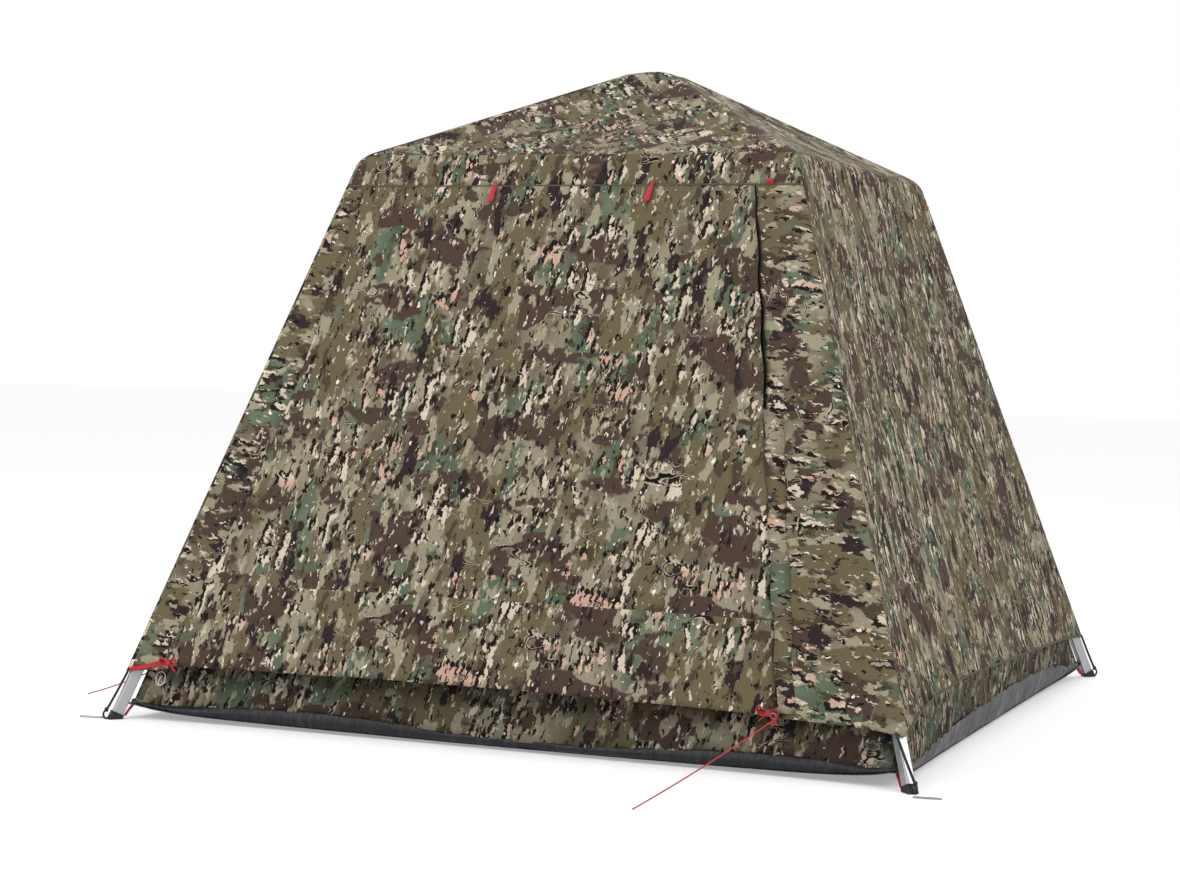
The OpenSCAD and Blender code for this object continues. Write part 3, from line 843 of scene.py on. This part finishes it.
INNER_COLS = 120
INNER_PEAK_HALF = 0.05
RING_COLS = INNER_COLS + ARC_COLS  # columns of one side and the corner after it
INNER_RELIEF = Relief(69, waves=10, creases=20)
TUB_RELIEF = Relief(80, waves=18, creases=60, span=2.4)
DOOR_LOW, DOOR_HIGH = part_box("inner_door")
DOOR_TAPER = 0.72  # the doorway's width at its top, as a share of its foot
TUB_LOW_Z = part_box("floor_sides")[0].z
INNER_LOW = TUB_LOW_Z + 0.030  # where the inner tent's cloth starts, before it follows the tub's top edge
SHEET_Z = 0.0025  # height of the middle of the floor sheet
FLOOR_BOW = 0.020  # how far the floor's edges bow in between the corners
FLOOR_RINGS = [1.0, 0.995, 0.985, 0.97, 0.95, 0.93] + [k / 30 for k in range(27, 0, -1)]
CORNER_PULL = 0.030  # how far the straps pull the inner tent's corners out


def tub_foot(share):
    """Height of the floor's edge: hung between the straps, it lifts off the ground towards the corners."""
    return TUB_LOW_Z + 0.005 + 0.012 * share ** 2 + 0.026 * np.abs(share) ** 12


def tub_top(side, share):
    """Height of the seam between the grey floor tub and the cloth: down at the corners, up between."""
    rise = (0.080 + 0.018 * share) * (1 - np.abs(share) ** 2.6)
    if side == 0:
        rise = (0.028 + 0.012 * np.cos(5.0 * (share + 0.5))) * (1 - np.abs(share) ** 6)
    return tub_foot(share) + 0.004 + rise


def corner_pull(share, z):
    """How far the foot of the inner tent is pulled out towards the legs."""
    return CORNER_PULL * np.abs(share) ** 8 * np.clip((0.32 - z) / 0.12, 0, 1)


def fly_reach(side, share, z):
    """How far the inner tent's foot leans out to the fly's hem between the legs, except at the front."""
    if side == 0:
        return np.zeros_like(share)
    near_hem = np.clip(z / 0.19, 0, 1) * np.clip((0.32 - z) / 0.08, 0, 1)
    return (fly_half(z) - 0.006 - inner_half(z)) * (1 - share ** 8) * near_hem


def ring_of(side_points, half, radius):
    """Points round a rounded square. side_points(side, across) gives outward shifts and heights."""
    row = []
    corner = half - radius
    for side in range(4):
        places = np.linspace(-corner, corner, INNER_COLS + 1)
        off, heights = side_points(side, places)
        local = list(zip(places, -(half + off), heights))
        row += facing(side, local + corner_arc(corner, radius + off[-1], heights[-1]))
    return row


def ring_side(polygon):
    """The side that a face of an inner tent or floor ring lies on."""
    return polygon.vertices[0] % (4 * RING_COLS) // RING_COLS


def inner_door_half(z):
    """Half width of the inner tent's doorway at a height."""
    t = (z - DOOR_LOW.z) / (DOOR_HIGH.z - DOOR_LOW.z)
    return DOOR_HIGH.x * (1 + (DOOR_TAPER - 1) * t)


def inner_tent():
    """The inner tent: camouflage foot, walls and low roof, with a doorway in its front wall."""
    heights = np.linspace(INNER_LOW, INNER_EAVE_Z, 64)
    grid = []
    for level in heights:
        half = inner_half(level)

        def side_points(side, places, level=level, half=half):
            share = places / half
            hold = np.clip((1 - np.abs(share)) / 0.12, 0, 1)
            lift = (tub_top(side, share) - INNER_LOW) * np.clip(1 - (level - INNER_LOW) / 0.30, 0, 1)
            folds = INNER_RELIEF(places + side * 3, np.full_like(places, level), 0.006, 0.004)
            tucks = 0.004 * np.sin(places * 61 + 3 * np.sin(places * 17)) * np.clip(1 - level / 0.25, 0, 1)
            height = (level - INNER_LOW) / (INNER_EAVE_Z - INNER_LOW)
            sag = 0.012 * (1 - share ** 2) * math.sin(math.pi * height)
            z = level + lift
            spread = corner_pull(share, z) + fly_reach(side, share, z)
            return hold * (folds + tucks - sag) + spread - INNER_RUN * lift, z

        grid.append(ring_of(side_points, half, 0.02))
    for half in np.linspace(INNER_EAVE_HALF, INNER_PEAK_HALF, 16)[1:]:
        run = (INNER_EAVE_HALF - half) / (INNER_EAVE_HALF - INNER_PEAK_HALF)
        z = INNER_EAVE_Z + (INNER_PEAK_Z - 0.002 - INNER_EAVE_Z) * run

        def level_side(side, places, z=z):
            return np.zeros_like(places), np.full_like(places, z)

        grid.append(ring_of(level_side, half, min(0.02, half * 0.9)))

    def doorway(r, c):
        if c >= INNER_COLS or r >= len(heights) - 1:
            return False
        x, _, z = (Vector(grid[r][c]) + Vector(grid[r + 1][c + 1])) / 2
        return DOOR_LOW.z - 0.01 < z < DOOR_HIGH.z + 0.01 and abs(x) < inner_door_half(z) + 0.01

    obj = skin("inner_tent_cloth", grid, (0.0, 0.0, INNER_PEAK_Z), doorway)
    lay_print(obj, lambda polygon: (WALL_PRINTS[ring_side(polygon)], (2.3, 0.6)))
    thicken(obj, 0.0008)
    dress(obj, "inner", ["inner_tent"])


def inner_door():
    """Mesh door panel with a bound edge, hinged at its left side."""
    rows, cols = 40, 30
    points = []
    for t in np.linspace(0, 1, rows):
        z = DOOR_LOW.z + (DOOR_HIGH.z - DOOR_LOW.z) * t
        half = inner_door_half(z)
        for s in np.linspace(-1, 1, cols):
            sag = 0.010 * (1 - s * s) * math.sin(math.pi * t)
            points.append((s * half, -(inner_half(z) - 0.002 - sag), z))
    panel = new_mesh("inner_door_mesh", points, grid_faces(rows, cols))
    lay_print(panel, lambda polygon: (WALL_PRINTS[0], (0.0, 0.0)))
    thicken(panel, 0.0006)
    dress(panel, "mesh", ["inner_door"], "inner_door")
    foot = list(range(cols))
    right = [r * cols + cols - 1 for r in range(1, rows)]
    top = [(rows - 1) * cols + c for c in range(cols - 2, -1, -1)]
    left = [r * cols for r in range(rows - 2, 0, -1)]
    edge = [points[i] for i in foot + right + top + left]
    rim = join_parts("inner_door_binding", [sweep(edge, flat_outline(0.004, 0.018), closed_path=True)])
    dress(rim, "black_cord", body="inner_door")


def floor_tub():
    """Grey waterproof sides of the floor: crinkled, pulled down at the corners and bowed in between, with painted
    shade on the front face.
    """
    grid = []
    half = inner_half(TUB_LOW_Z)
    for t in np.linspace(0, 1, 12):

        def side_points(side, places, t=t):
            share = places / half
            hold = np.clip((1 - np.abs(share)) / 0.05, 0, 1)
            foot = tub_foot(share)
            z = foot + (tub_top(side, share) + 0.004 - foot) * t
            crinkle = TUB_RELIEF(places + side * 2.7, np.full_like(places, t * 0.12), 0.004, 0.006)
            tucks = 0.003 * np.sin(places * 83 + 4 * np.sin(places * 23 + side)) * math.sin(math.pi * t)
            belly = 0.008 * math.sin(math.pi * t)
            inset = FLOOR_BOW * (1 - share ** 2) * (1 - t) + INNER_RUN * (z - TUB_LOW_Z)
            spread = corner_pull(share, z) + fly_reach(side, share, z) * t
            return hold * (crinkle + tucks + belly) + spread - inset, z

        grid.append(ring_of(side_points, half, 0.012))
    obj = skin("floor_tub_sides", grid)
    lay_print(obj, lambda polygon: (WALL_PRINTS[ring_side(polygon)], (0.0, 0.0)))
    thicken(obj, 0.0012)
    dress(obj, "tub", ["floor_sides"])
    # The front face takes a darker copy of the tub sheet: painted shade under the door flap's overhang.
    obj.data.materials.append(MATERIAL["tub_painted_shade"])
    for polygon in obj.data.polygons:
        polygon.material_index = int(polygon.vertices[0] % (4 * RING_COLS) < INNER_COLS + 2)


def floor_sheet():
    """Grey floor sheet with soft ripples: just off the ground, and up to the tub's foot round its edge."""
    base = inner_half(TUB_LOW_Z)
    grid = []
    for size in FLOOR_RINGS:
        edge = max(0.0, (size - 0.8) / 0.2)

        def side_points(side, places, size=size, edge=edge):
            share = places / (base * size)
            ripple = TUB_RELIEF(places + side * 2.7, np.full_like(places, size), 0.003, 0.001)
            z = SHEET_Z + np.maximum(ripple, -0.001) * (1 - edge) + (tub_foot(share) - SHEET_Z) * edge
            return (corner_pull(share, z) - FLOOR_BOW * (1 - share ** 2)) * size ** 8, z

        grid.append(ring_of(side_points, base * size, 0.012 * size))
    obj = skin("floor_ground_sheet", grid, (0.0, 0.0, SHEET_Z))
    lay_print(obj, lambda polygon: ((np.array([1.0, 0, 0]), np.array([0, 1.0, 0])), (0.0, 0.0)))
    thicken(obj, 0.0010, 0.0)
    obj.data.materials.append(MATERIAL["tub"])
    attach(obj, "tent")
    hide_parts("floor_sheet")


# ---- Materials -------------------------------------------------------------------------------


def srgb(code):
    """Linear colour from a six-digit colour code."""
    parts = [int(code[k:k + 2], 16) / 255 for k in (0, 2, 4)]
    return tuple(p / 12.92 if p <= 0.04045 else ((p + 0.055) / 1.055) ** 2.4 for p in parts) + (1.0,)


class Shader:
    """A material's node tree, built with short calls that return output sockets."""

    def __init__(self, name):
        self.material = bpy.data.materials.new(name)
        self.material.use_nodes = True
        self.tree = self.material.node_tree
        self.tree.nodes.clear()
        self.out = self.node("ShaderNodeOutputMaterial")
        self.bsdf = self.node("ShaderNodeBsdfPrincipled")
        self.join(self.bsdf.outputs[0], self.out.inputs[0])

    def node(self, kind, **settings):
        made = self.tree.nodes.new(kind)
        for key, value in settings.items():
            setattr(made, key, value)
        return made

    def join(self, source, target):
        if isinstance(source, bpy.types.NodeSocket):
            self.tree.links.new(source, target)
        else:
            target.default_value = source

    def set(self, **values):
        for key, value in values.items():
            self.join(value, self.bsdf.inputs[key.replace("_", " ")])

    def uv(self):
        return self.node("ShaderNodeUVMap", uv_map="cloth").outputs[0]

    def place(self):
        return self.node("ShaderNodeTexCoord").outputs["Object"]

    def part(self, vector, k):
        """One of the three parts of a vector."""
        made = self.node("ShaderNodeSeparateXYZ")
        self.join(vector, made.inputs[0])
        return made.outputs[k]

    def mapped(self, vector, **settings):
        made = self.node("ShaderNodeMapping")
        self.join(vector, made.inputs["Vector"])
        for name, value in settings.items():
            made.inputs[name].default_value = value
        return made.outputs[0]

    def add(self, a, b):
        made = self.node("ShaderNodeVectorMath", operation="ADD")
        self.join(a, made.inputs[0])
        self.join(b, made.inputs[1])
        return made.outputs[0]

    def noise(self, vector, scale, shift=(0, 0, 0), detail=2.0, rough=0.5, bend=0.0):
        """Soft noise with its own scale along each direction."""
        made = self.node("ShaderNodeTexNoise", noise_dimensions="3D")
        self.join(self.mapped(vector, Scale=scale, Location=shift), made.inputs["Vector"])
        made.inputs["Scale"].default_value = 1.0
        made.inputs["Detail"].default_value = detail
        made.inputs["Roughness"].default_value = rough
        made.inputs["Distortion"].default_value = bend
        return made.outputs["Fac"]

    def math(self, operation, a, b=0.0):
        made = self.node("ShaderNodeMath", operation=operation)
        self.join(a, made.inputs[0])
        self.join(b, made.inputs[1])
        return made.outputs[0]

    def step(self, value, edge, soft):
        """0 below an edge and 1 above it, softened over a short range."""
        made = self.node("ShaderNodeMapRange")
        self.join(value, made.inputs["Value"])
        made.inputs["From Min"].default_value = edge - soft
        made.inputs["From Max"].default_value = edge + soft
        return made.outputs["Result"]

    def inverse(self, value):
        return self.math("SUBTRACT", 1.0, value)

    def graded(self, value, slope, start):
        """A value times a slope, on top of a start."""
        return self.math("ADD", self.math("MULTIPLY", value, slope), start)

    def away(self, value, centre, reach, soft):
        """1 outside a narrow range round a centre and 0 inside it."""
        return self.step(self.math("ABSOLUTE", self.math("SUBTRACT", value, centre)), reach, soft)

    def waves(self, value, pitch):
        return self.math("SINE", self.math("MULTIPLY", value, 2 * math.pi / pitch))

    def mix(self, amount, a, b):
        made = self.node("ShaderNodeMix", data_type="RGBA")
        self.join(amount, made.inputs[0])
        self.join(a, made.inputs[6])
        self.join(b, made.inputs[7])
        return made.outputs[2]

    def shade(self, colour, amount):
        """A colour times a grey amount."""
        made = self.node("ShaderNodeVectorMath", operation="SCALE")
        self.join(colour, made.inputs[0])
        self.join(amount, made.inputs["Scale"])
        return made.outputs[0]

    def bump(self, height, strength, distance, below=None):
        made = self.node("ShaderNodeBump")
        made.inputs["Strength"].default_value = strength
        made.inputs["Distance"].default_value = distance
        self.join(height, made.inputs["Height"])
        if below is not None:
            self.join(below, made.inputs["Normal"])
        return made.outputs[0]

    def weave(self, vector, pitch):
        """Plain weave: threads across and along, one thread every pitch metres."""
        across, along = (self.waves(self.part(vector, k), pitch) for k in (0, 1))
        return self.math("MULTIPLY", across, along)


def camo_colour(s, uv):
    """Woodland print: ground patches under clusters of short slanting strokes, specks and twigs."""
    ragged = s.node("ShaderNodeTexNoise")
    s.join(uv, ragged.inputs["Vector"])
    ragged.inputs["Scale"].default_value = 60.0
    at = s.add(uv, s.shade(ragged.outputs["Color"], 0.016))
    leaning = s.mapped(at, Rotation=(0, 0, 0.16))

    def spots(scale, shift, edge, soft=0.012, where=leaning):
        return s.step(s.noise(where, scale, shift, detail=3.0, rough=0.55), edge, soft)

    drift = s.noise(leaning, (7, 4, 1), (9, 2, 0), detail=3.0)
    ground = s.mix(s.step(drift, 0.5, 0.09), srgb("6a604f"), srgb("918973"))
    green = s.mix(s.step(s.noise(at, (11, 7, 1)), 0.5, 0.2), srgb("505f4a"), srgb("6f7966"))
    ground = s.mix(spots((7.5, 4.2, 1), (1, 8, 0), 0.540), ground, green)
    brown = spots((3.8, 8.0, 1), (7, 5, 0), 0.545, where=at)
    ground = s.mix(brown, ground, srgb("57443d"))
    olive = spots((5.6, 2.4, 1), (3, 1, 0), 0.540)
    ground = s.mix(olive, ground, srgb("6e644a"))
    for scale, shift, edge, colour in (
        ((15, 6, 1), (2, 6, 0), 0.600, "3b2f31"),
        ((22, 9, 1), (4, 4, 0), 0.585, "969079"),
        ((30, 13, 1), (5, 7, 0), 0.590, "544a39"),
    ):
        ground = s.mix(spots(scale, shift, edge), ground, srgb(colour))

    rest = s.noise(at, (6.5, 5, 1), (5, 9, 0), detail=2.0)
    blocks = s.math("MULTIPLY", s.math("MAXIMUM", brown, olive), 0.8)
    calm = s.math("MAXIMUM", blocks, s.inverse(s.step(rest, 0.47, 0.04)))

    def strokes(shift, edge, hush):
        marks = s.noise(leaning, (42, 13.5, 1), shift, detail=3.5, rough=0.62)
        return s.step(s.math("SUBTRACT", marks, s.math("MULTIPLY", calm, hush)), edge, 0.008)

    ground = s.mix(strokes((0.40, -0.18, 0), 0.535, 0.13), ground, srgb("2a211d"))
    pink = s.step(s.noise(at, (6, 5, 1), (2, 2, 3), detail=1.0), 0.55, 0.03)
    cream = s.mix(pink, srgb("c2b4a1"), srgb("bb9886"))
    ground = s.mix(strokes((0, 0, 0), 0.562, 0.15), ground, cream)
    for scale, shift, edge, colour in (
        ((60, 26, 1), (3, 7, 1), 0.635, "201a15"),
        ((64, 24, 1), (6, 1, 2), 0.640, "b9ad9a"),
        ((60, 30, 1), (8, 3, 4), 0.685, "d8cfc0"),
    ):
        ground = s.mix(spots(scale, shift, edge, soft=0.008), ground, srgb(colour))

    bent = s.noise(at, (4, 9, 1), (1, 1, 7), detail=2.0)
    line = s.math("ABSOLUTE", s.math("SUBTRACT", bent, 0.5))
    grove = s.step(s.noise(at, (6, 8, 1), (4, 2, 8)), 0.60, 0.02)
    twig = s.math("MULTIPLY", s.inverse(s.step(line, 0.005, 0.002)), grove)
    ground = s.mix(twig, ground, srgb("1b1511"))
    rim = s.inverse(s.away(line, 0.009, 0.002, 0.002))
    ground = s.mix(s.math("MULTIPLY", rim, grove), ground, srgb("b9ae9b"))
    grey = s.node("ShaderNodeRGBToBW")
    s.join(ground, grey.inputs[0])
    contrast = s.math("POWER", s.math("DIVIDE", grey.outputs[0], 0.15), 0.22)
    return s.shade(ground, contrast)


def cloth_finish(s, uv):
    """Weave and pressed crinkles of a coated cloth."""
    fine = s.noise(uv, (9, 9, 1), detail=4.0, rough=0.5, bend=0.4)
    folds = s.bump(fine, 0.30, 0.006)
    weave = s.bump(s.weave(uv, 0.0011), 0.10, 0.0002, folds)
    s.set(Normal=weave, Roughness=0.72, Specular_IOR_Level=0.12)


def camo_material():
    s = Shader("camo_cloth")
    uv = s.uv()
    wear = s.noise(uv, (1.7, 1.7, 1), detail=4.0)
    s.set(Base_Color=s.shade(camo_colour(s, uv), s.graded(wear, 0.16, 0.92)))
    cloth_finish(s, uv)
    return s.material


def inner_material():
    """Camouflage foot up to knee height, darkened as painted shade of the recess under the fly, plain dark
    breathable cloth above.
    """
    s = Shader("inner_cloth")
    uv = s.uv()
    above = s.step(s.part(s.place(), 2), 0.42, 0.002)
    plain = s.mix(s.noise(uv, (30, 30, 1), detail=4.0), srgb("3c3a34"), srgb("4a4840"))
    # The camouflage is scaled to 0.62: painted shade of the foot set back under the fly's hem.
    s.set(Base_Color=s.mix(above, s.shade(camo_colour(s, uv), 0.62), plain))
    cloth_finish(s, uv)
    return s.material


def band_material():
    """Bound edge: camouflage tape with two rows of stitches."""
    s = Shader("bound_edge")
    uv = s.uv()
    tape = s.mix(s.noise(uv, (26, 0.6, 1), detail=3.0), srgb("453f33"), srgb("7b7462"))
    dash = s.step(s.waves(s.part(uv, 0), 0.005), -0.2, 0.3)
    first, second = (s.away(s.part(uv, 1), row, 0.06, 0.02) for row in (0.22, 0.78))
    thread = s.math("MULTIPLY", dash, s.inverse(s.math("MULTIPLY", first, second)))
    s.set(Base_Color=s.mix(thread, tape, srgb("6b6550")), Roughness=0.7, Specular_IOR_Level=0.12)
    s.set(Normal=s.bump(s.math("SUBTRACT", s.noise(uv, (160, 2, 1)), thread), 0.4, 0.001))
    return s.material


def tub_material(name, dark, light, ridge_highlight):
    """Woven grey sheet: flat tapes and crinkles, with the crinkle ridges painted paler as a painted highlight."""
    s = Shader(name)
    uv = s.uv()
    mottle = s.noise(uv, (9, 14, 1), detail=5.0, rough=0.6)
    grey = s.mix(s.step(mottle, 0.5, 0.25), srgb(dark), srgb(light))
    streak = s.noise(uv, (60, 12, 1), detail=5.0, rough=0.7, bend=0.8)
    # Paler colour where the crinkle noise is high, on the ridges that the bump raises: painted highlight.
    s.set(Base_Color=s.mix(s.step(streak, 0.58, 0.08), grey, srgb(ridge_highlight)))
    crinkle = s.bump(streak, 0.55, 0.010)
    weave = s.bump(s.weave(uv, 0.0035), 0.25, 0.0004, crinkle)
    s.set(Normal=weave, Roughness=0.42, Specular_IOR_Level=0.45)
    return s.material


def mesh_material():
    s = Shader("insect_mesh")
    uv = s.uv()
    threads = s.weave(uv, 0.0024)
    s.set(Base_Color=s.mix(s.step(threads, 0.0, 0.3), srgb("0e0e0f"), srgb("2b2b2d")), Roughness=0.8)
    s.set(Normal=s.bump(threads, 0.4, 0.0004))
    return s.material


def webbing_material():
    """Red webbing with a ribbed weave."""
    s = Shader("red_webbing")
    at = s.place()
    ribs = s.weave(at, 0.0024)
    tint = s.noise(at, (40, 40, 40), detail=3.0)
    s.set(Base_Color=s.mix(tint, srgb("b50f22"), srgb("dd2236")), Roughness=0.6, Sheen_Weight=0.2)
    s.set(Normal=s.bump(ribs, 0.5, 0.0006))
    return s.material


def cord_material(name, dark, light, pitch):
    """Braided cord: slanting strands round it."""
    s = Shader(name)
    wave = s.node("ShaderNodeTexWave", wave_type="BANDS", bands_direction="DIAGONAL")
    s.join(s.place(), wave.inputs["Vector"])
    wave.inputs["Scale"].default_value = 1 / pitch
    wave.inputs["Distortion"].default_value = 1.2
    s.set(Base_Color=s.mix(wave.outputs["Fac"], srgb(dark), srgb(light)), Roughness=0.65, Sheen_Weight=0.15)
    s.set(Normal=s.bump(wave.outputs["Fac"], 0.5, 0.0005))
    return s.material


def aluminium_material():
    """Satin extruded tube: fine draw lines and faint stains."""
    s = Shader("tube_aluminium")
    at = s.place()
    lines = s.noise(at, (700, 700, 18), detail=3.0)
    stain = s.noise(at, (11, 11, 5), detail=4.0)
    s.set(Base_Color=s.mix(stain, srgb("b9babd"), srgb("dcdde0")), Metallic=0.85)
    s.set(Roughness=s.graded(lines, 0.25, 0.26), Normal=s.bump(lines, 0.10, 0.0005))
    return s.material


def steel_material():
    s = Shader("plated_steel")
    worn = s.noise(s.place(), (90, 90, 90), detail=5.0)
    s.set(Base_Color=s.mix(worn, srgb("8d8f92"), srgb("c3c5c8")), Metallic=1.0)
    s.set(Roughness=s.graded(worn, 0.3, 0.22), Normal=s.bump(worn, 0.15, 0.0004))
    return s.material


def plastic_material():
    """Moulded black nylon with a fine spark texture and paler rubbed patches at random."""
    s = Shader("moulded_plastic")
    grain = s.noise(s.place(), (900, 900, 900), detail=2.0)
    worn = s.noise(s.place(), (35, 35, 35), detail=5.0)
    s.set(Base_Color=s.mix(worn, srgb("131314"), srgb("26272a")), Normal=s.bump(grain, 0.25, 0.0003))
    s.set(Roughness=s.graded(worn, 0.2, 0.38))
    return s.material


def zip_material(name, pitch, dark, light, strength):
    """Ribs across a zip's tape or coil, one every pitch metres."""
    s = Shader(name)
    ribs = s.waves(s.part(s.place(), 2), pitch)
    s.set(Base_Color=s.mix(s.step(ribs, 0.0, 0.6), srgb(dark), srgb(light)), Roughness=0.55)
    s.set(Normal=s.bump(ribs, strength, 0.0008))
    return s.material


MATERIAL = {
    "camo": camo_material(),
    "inner": inner_material(),
    "band": band_material(),
    "tub": tub_material("tub_sheet", "3a3b3f", "5a5b5e", "8e8f92"),
    # Darker copy of the tub sheet for the front face: painted shade.
    "tub_painted_shade": tub_material("tub_sheet_front_painted_shade", "17181c", "232328", "333337"),
    "mesh": mesh_material(),
    "webbing": webbing_material(),
    "red_cord": cord_material("red_cord", "a01022", "e0384a", 0.004),
    "black_cord": cord_material("black_cord", "0b0b0c", "232325", 0.004),
    "white_cord": cord_material("white_cord", "c9c8c2", "f4f3ee", 0.003),
    "aluminium": aluminium_material(),
    "steel": steel_material(),
    "plastic": plastic_material(),
    "zip_tape": zip_material("zip_tape", 0.0016, "0d0d0e", "1b1b1d", 0.3),
    "zip_coil": zip_material("zip_coil", 0.0026, "101011", "39393c", 0.9),
}
CAD_FINISH = {"tube_aluminium": "aluminium", "steel": "steel", "black_plastic": "plastic"}


def finish_cad_nodes():
    """Gives every CAD node that stays in view its own finish."""
    slots = {row["node"]: row["material_slot"] for row in frame["record"]["subparts"]}
    for name, obj in frame["nodes"].items():
        finish = CAD_FINISH.get(slots[name])
        if finish and not obj.hide_render:
            obj.data.materials.clear()
            obj.data.materials.append(MATERIAL[finish])
            edge = obj.modifiers.new("edge", "BEVEL")
            edge.width = 0.0005
            edge.segments = 2
            edge.limit_method = "ANGLE"
            edge.angle_limit = math.radians(40)
            edge.harden_normals = False


# ---- Camera, light and floor ---------------------------------------------------------------------

VIEW_AZIMUTH = 22.38
VIEW_ELEVATION = 2.62
VIEW_ROLL = 1.13
VIEW_DISTANCE = 7.772
VIEW_TARGET = (-0.2, 0.0, 0.807)
VIEW_LENS = 73.43
SURROUND_LIGHT = 0.72
LAMP_SIZE = 4.0
FLOOR_REACH = 30


def camera():
    az, el, roll = (math.radians(a) for a in (VIEW_AZIMUTH, VIEW_ELEVATION, VIEW_ROLL))
    back = Vector((math.sin(az) * math.cos(el), -math.cos(az) * math.cos(el), math.sin(el)))
    data = bpy.data.cameras.new("camera")
    data.lens = VIEW_LENS
    data.sensor_width = 36.0
    data.clip_end = 60.0
    obj = bpy.data.objects.new("camera", data)
    obj.location = Vector(VIEW_TARGET) + back * VIEW_DISTANCE
    turn = back.to_track_quat("Z", "Y").to_matrix().to_4x4()
    obj.rotation_euler = (turn @ Matrix.Rotation(roll, 4, "Z")).to_euler()
    bpy.context.scene.collection.objects.link(obj)
    bpy.context.scene.camera = obj


def area_light(name, place, target, power):
    data = bpy.data.lights.new(name, "AREA")
    data.shape = "DISK"
    data.size = LAMP_SIZE
    data.energy = power
    obj = bpy.data.objects.new(name, data)
    obj.location = place
    obj.rotation_euler = (Vector(place) - Vector(target)).to_track_quat("Z", "Y").to_euler()
    bpy.context.scene.collection.objects.link(obj)


def studio():
    """A white surround that lights softly from everywhere, three large lamps and a pale floor."""
    world = bpy.data.worlds.new("studio")
    world.use_nodes = True
    tree = world.node_tree
    seen, lit = tree.nodes["Background"], tree.nodes.new("ShaderNodeBackground")
    seen.inputs[0].default_value = lit.inputs[0].default_value = (1.0, 1.0, 1.0, 1.0)
    lit.inputs[1].default_value = SURROUND_LIGHT
    choose, path = tree.nodes.new("ShaderNodeMixShader"), tree.nodes.new("ShaderNodeLightPath")
    tree.links.new(path.outputs["Is Camera Ray"], choose.inputs[0])
    tree.links.new(lit.outputs[0], choose.inputs[1])
    tree.links.new(seen.outputs[0], choose.inputs[2])
    tree.links.new(choose.outputs[0], tree.nodes["World Output"].inputs[0])
    bpy.context.scene.world = world
    bpy.context.scene.view_settings.view_transform = "Standard"
    area_light("key", (-3.5, -6.5, 5.0), (0, 0, 0.9), 190)
    area_light("fill", (6.5, -3.0, 3.5), (0, 0, 0.9), 120)
    area_light("top", (0.5, 3.5, 6.0), (0, 0, 1.0), 70)
    s = Shader("studio_floor")
    seen = s.node("ShaderNodeLightPath").outputs["Is Camera Ray"]
    s.set(Base_Color=s.mix(seen, srgb("a0a0a0"), srgb("fafafa")), Roughness=0.9, Specular_IOR_Level=0.1)
    s.set(Emission_Color=srgb("ffffff"), Emission_Strength=0.28)
    reach, z = FLOOR_REACH, -0.001
    corners = [(-reach, -reach, z), (reach, -reach, z), (reach, reach, z), (-reach, reach, z)]
    floor = new_mesh("studio_ground", corners, [(0, 1, 2, 3)], smooth=False)
    floor.data.materials.append(s.material)


# ---- Build ---------------------------------------------------------------------------------------

fly_canopy()
door_flap()
seam_bands()
zip_lines()
placket()
zip_sliders()
inner_tent()
inner_door()
floor_tub()
floor_sheet()
toggles()
corner_tabs()
foot_straps()
bungees()
hem_ties()
metal_ring()
guy_lines()
cord_ring()
pegs()
finish_cad_nodes()
camera()
studio()
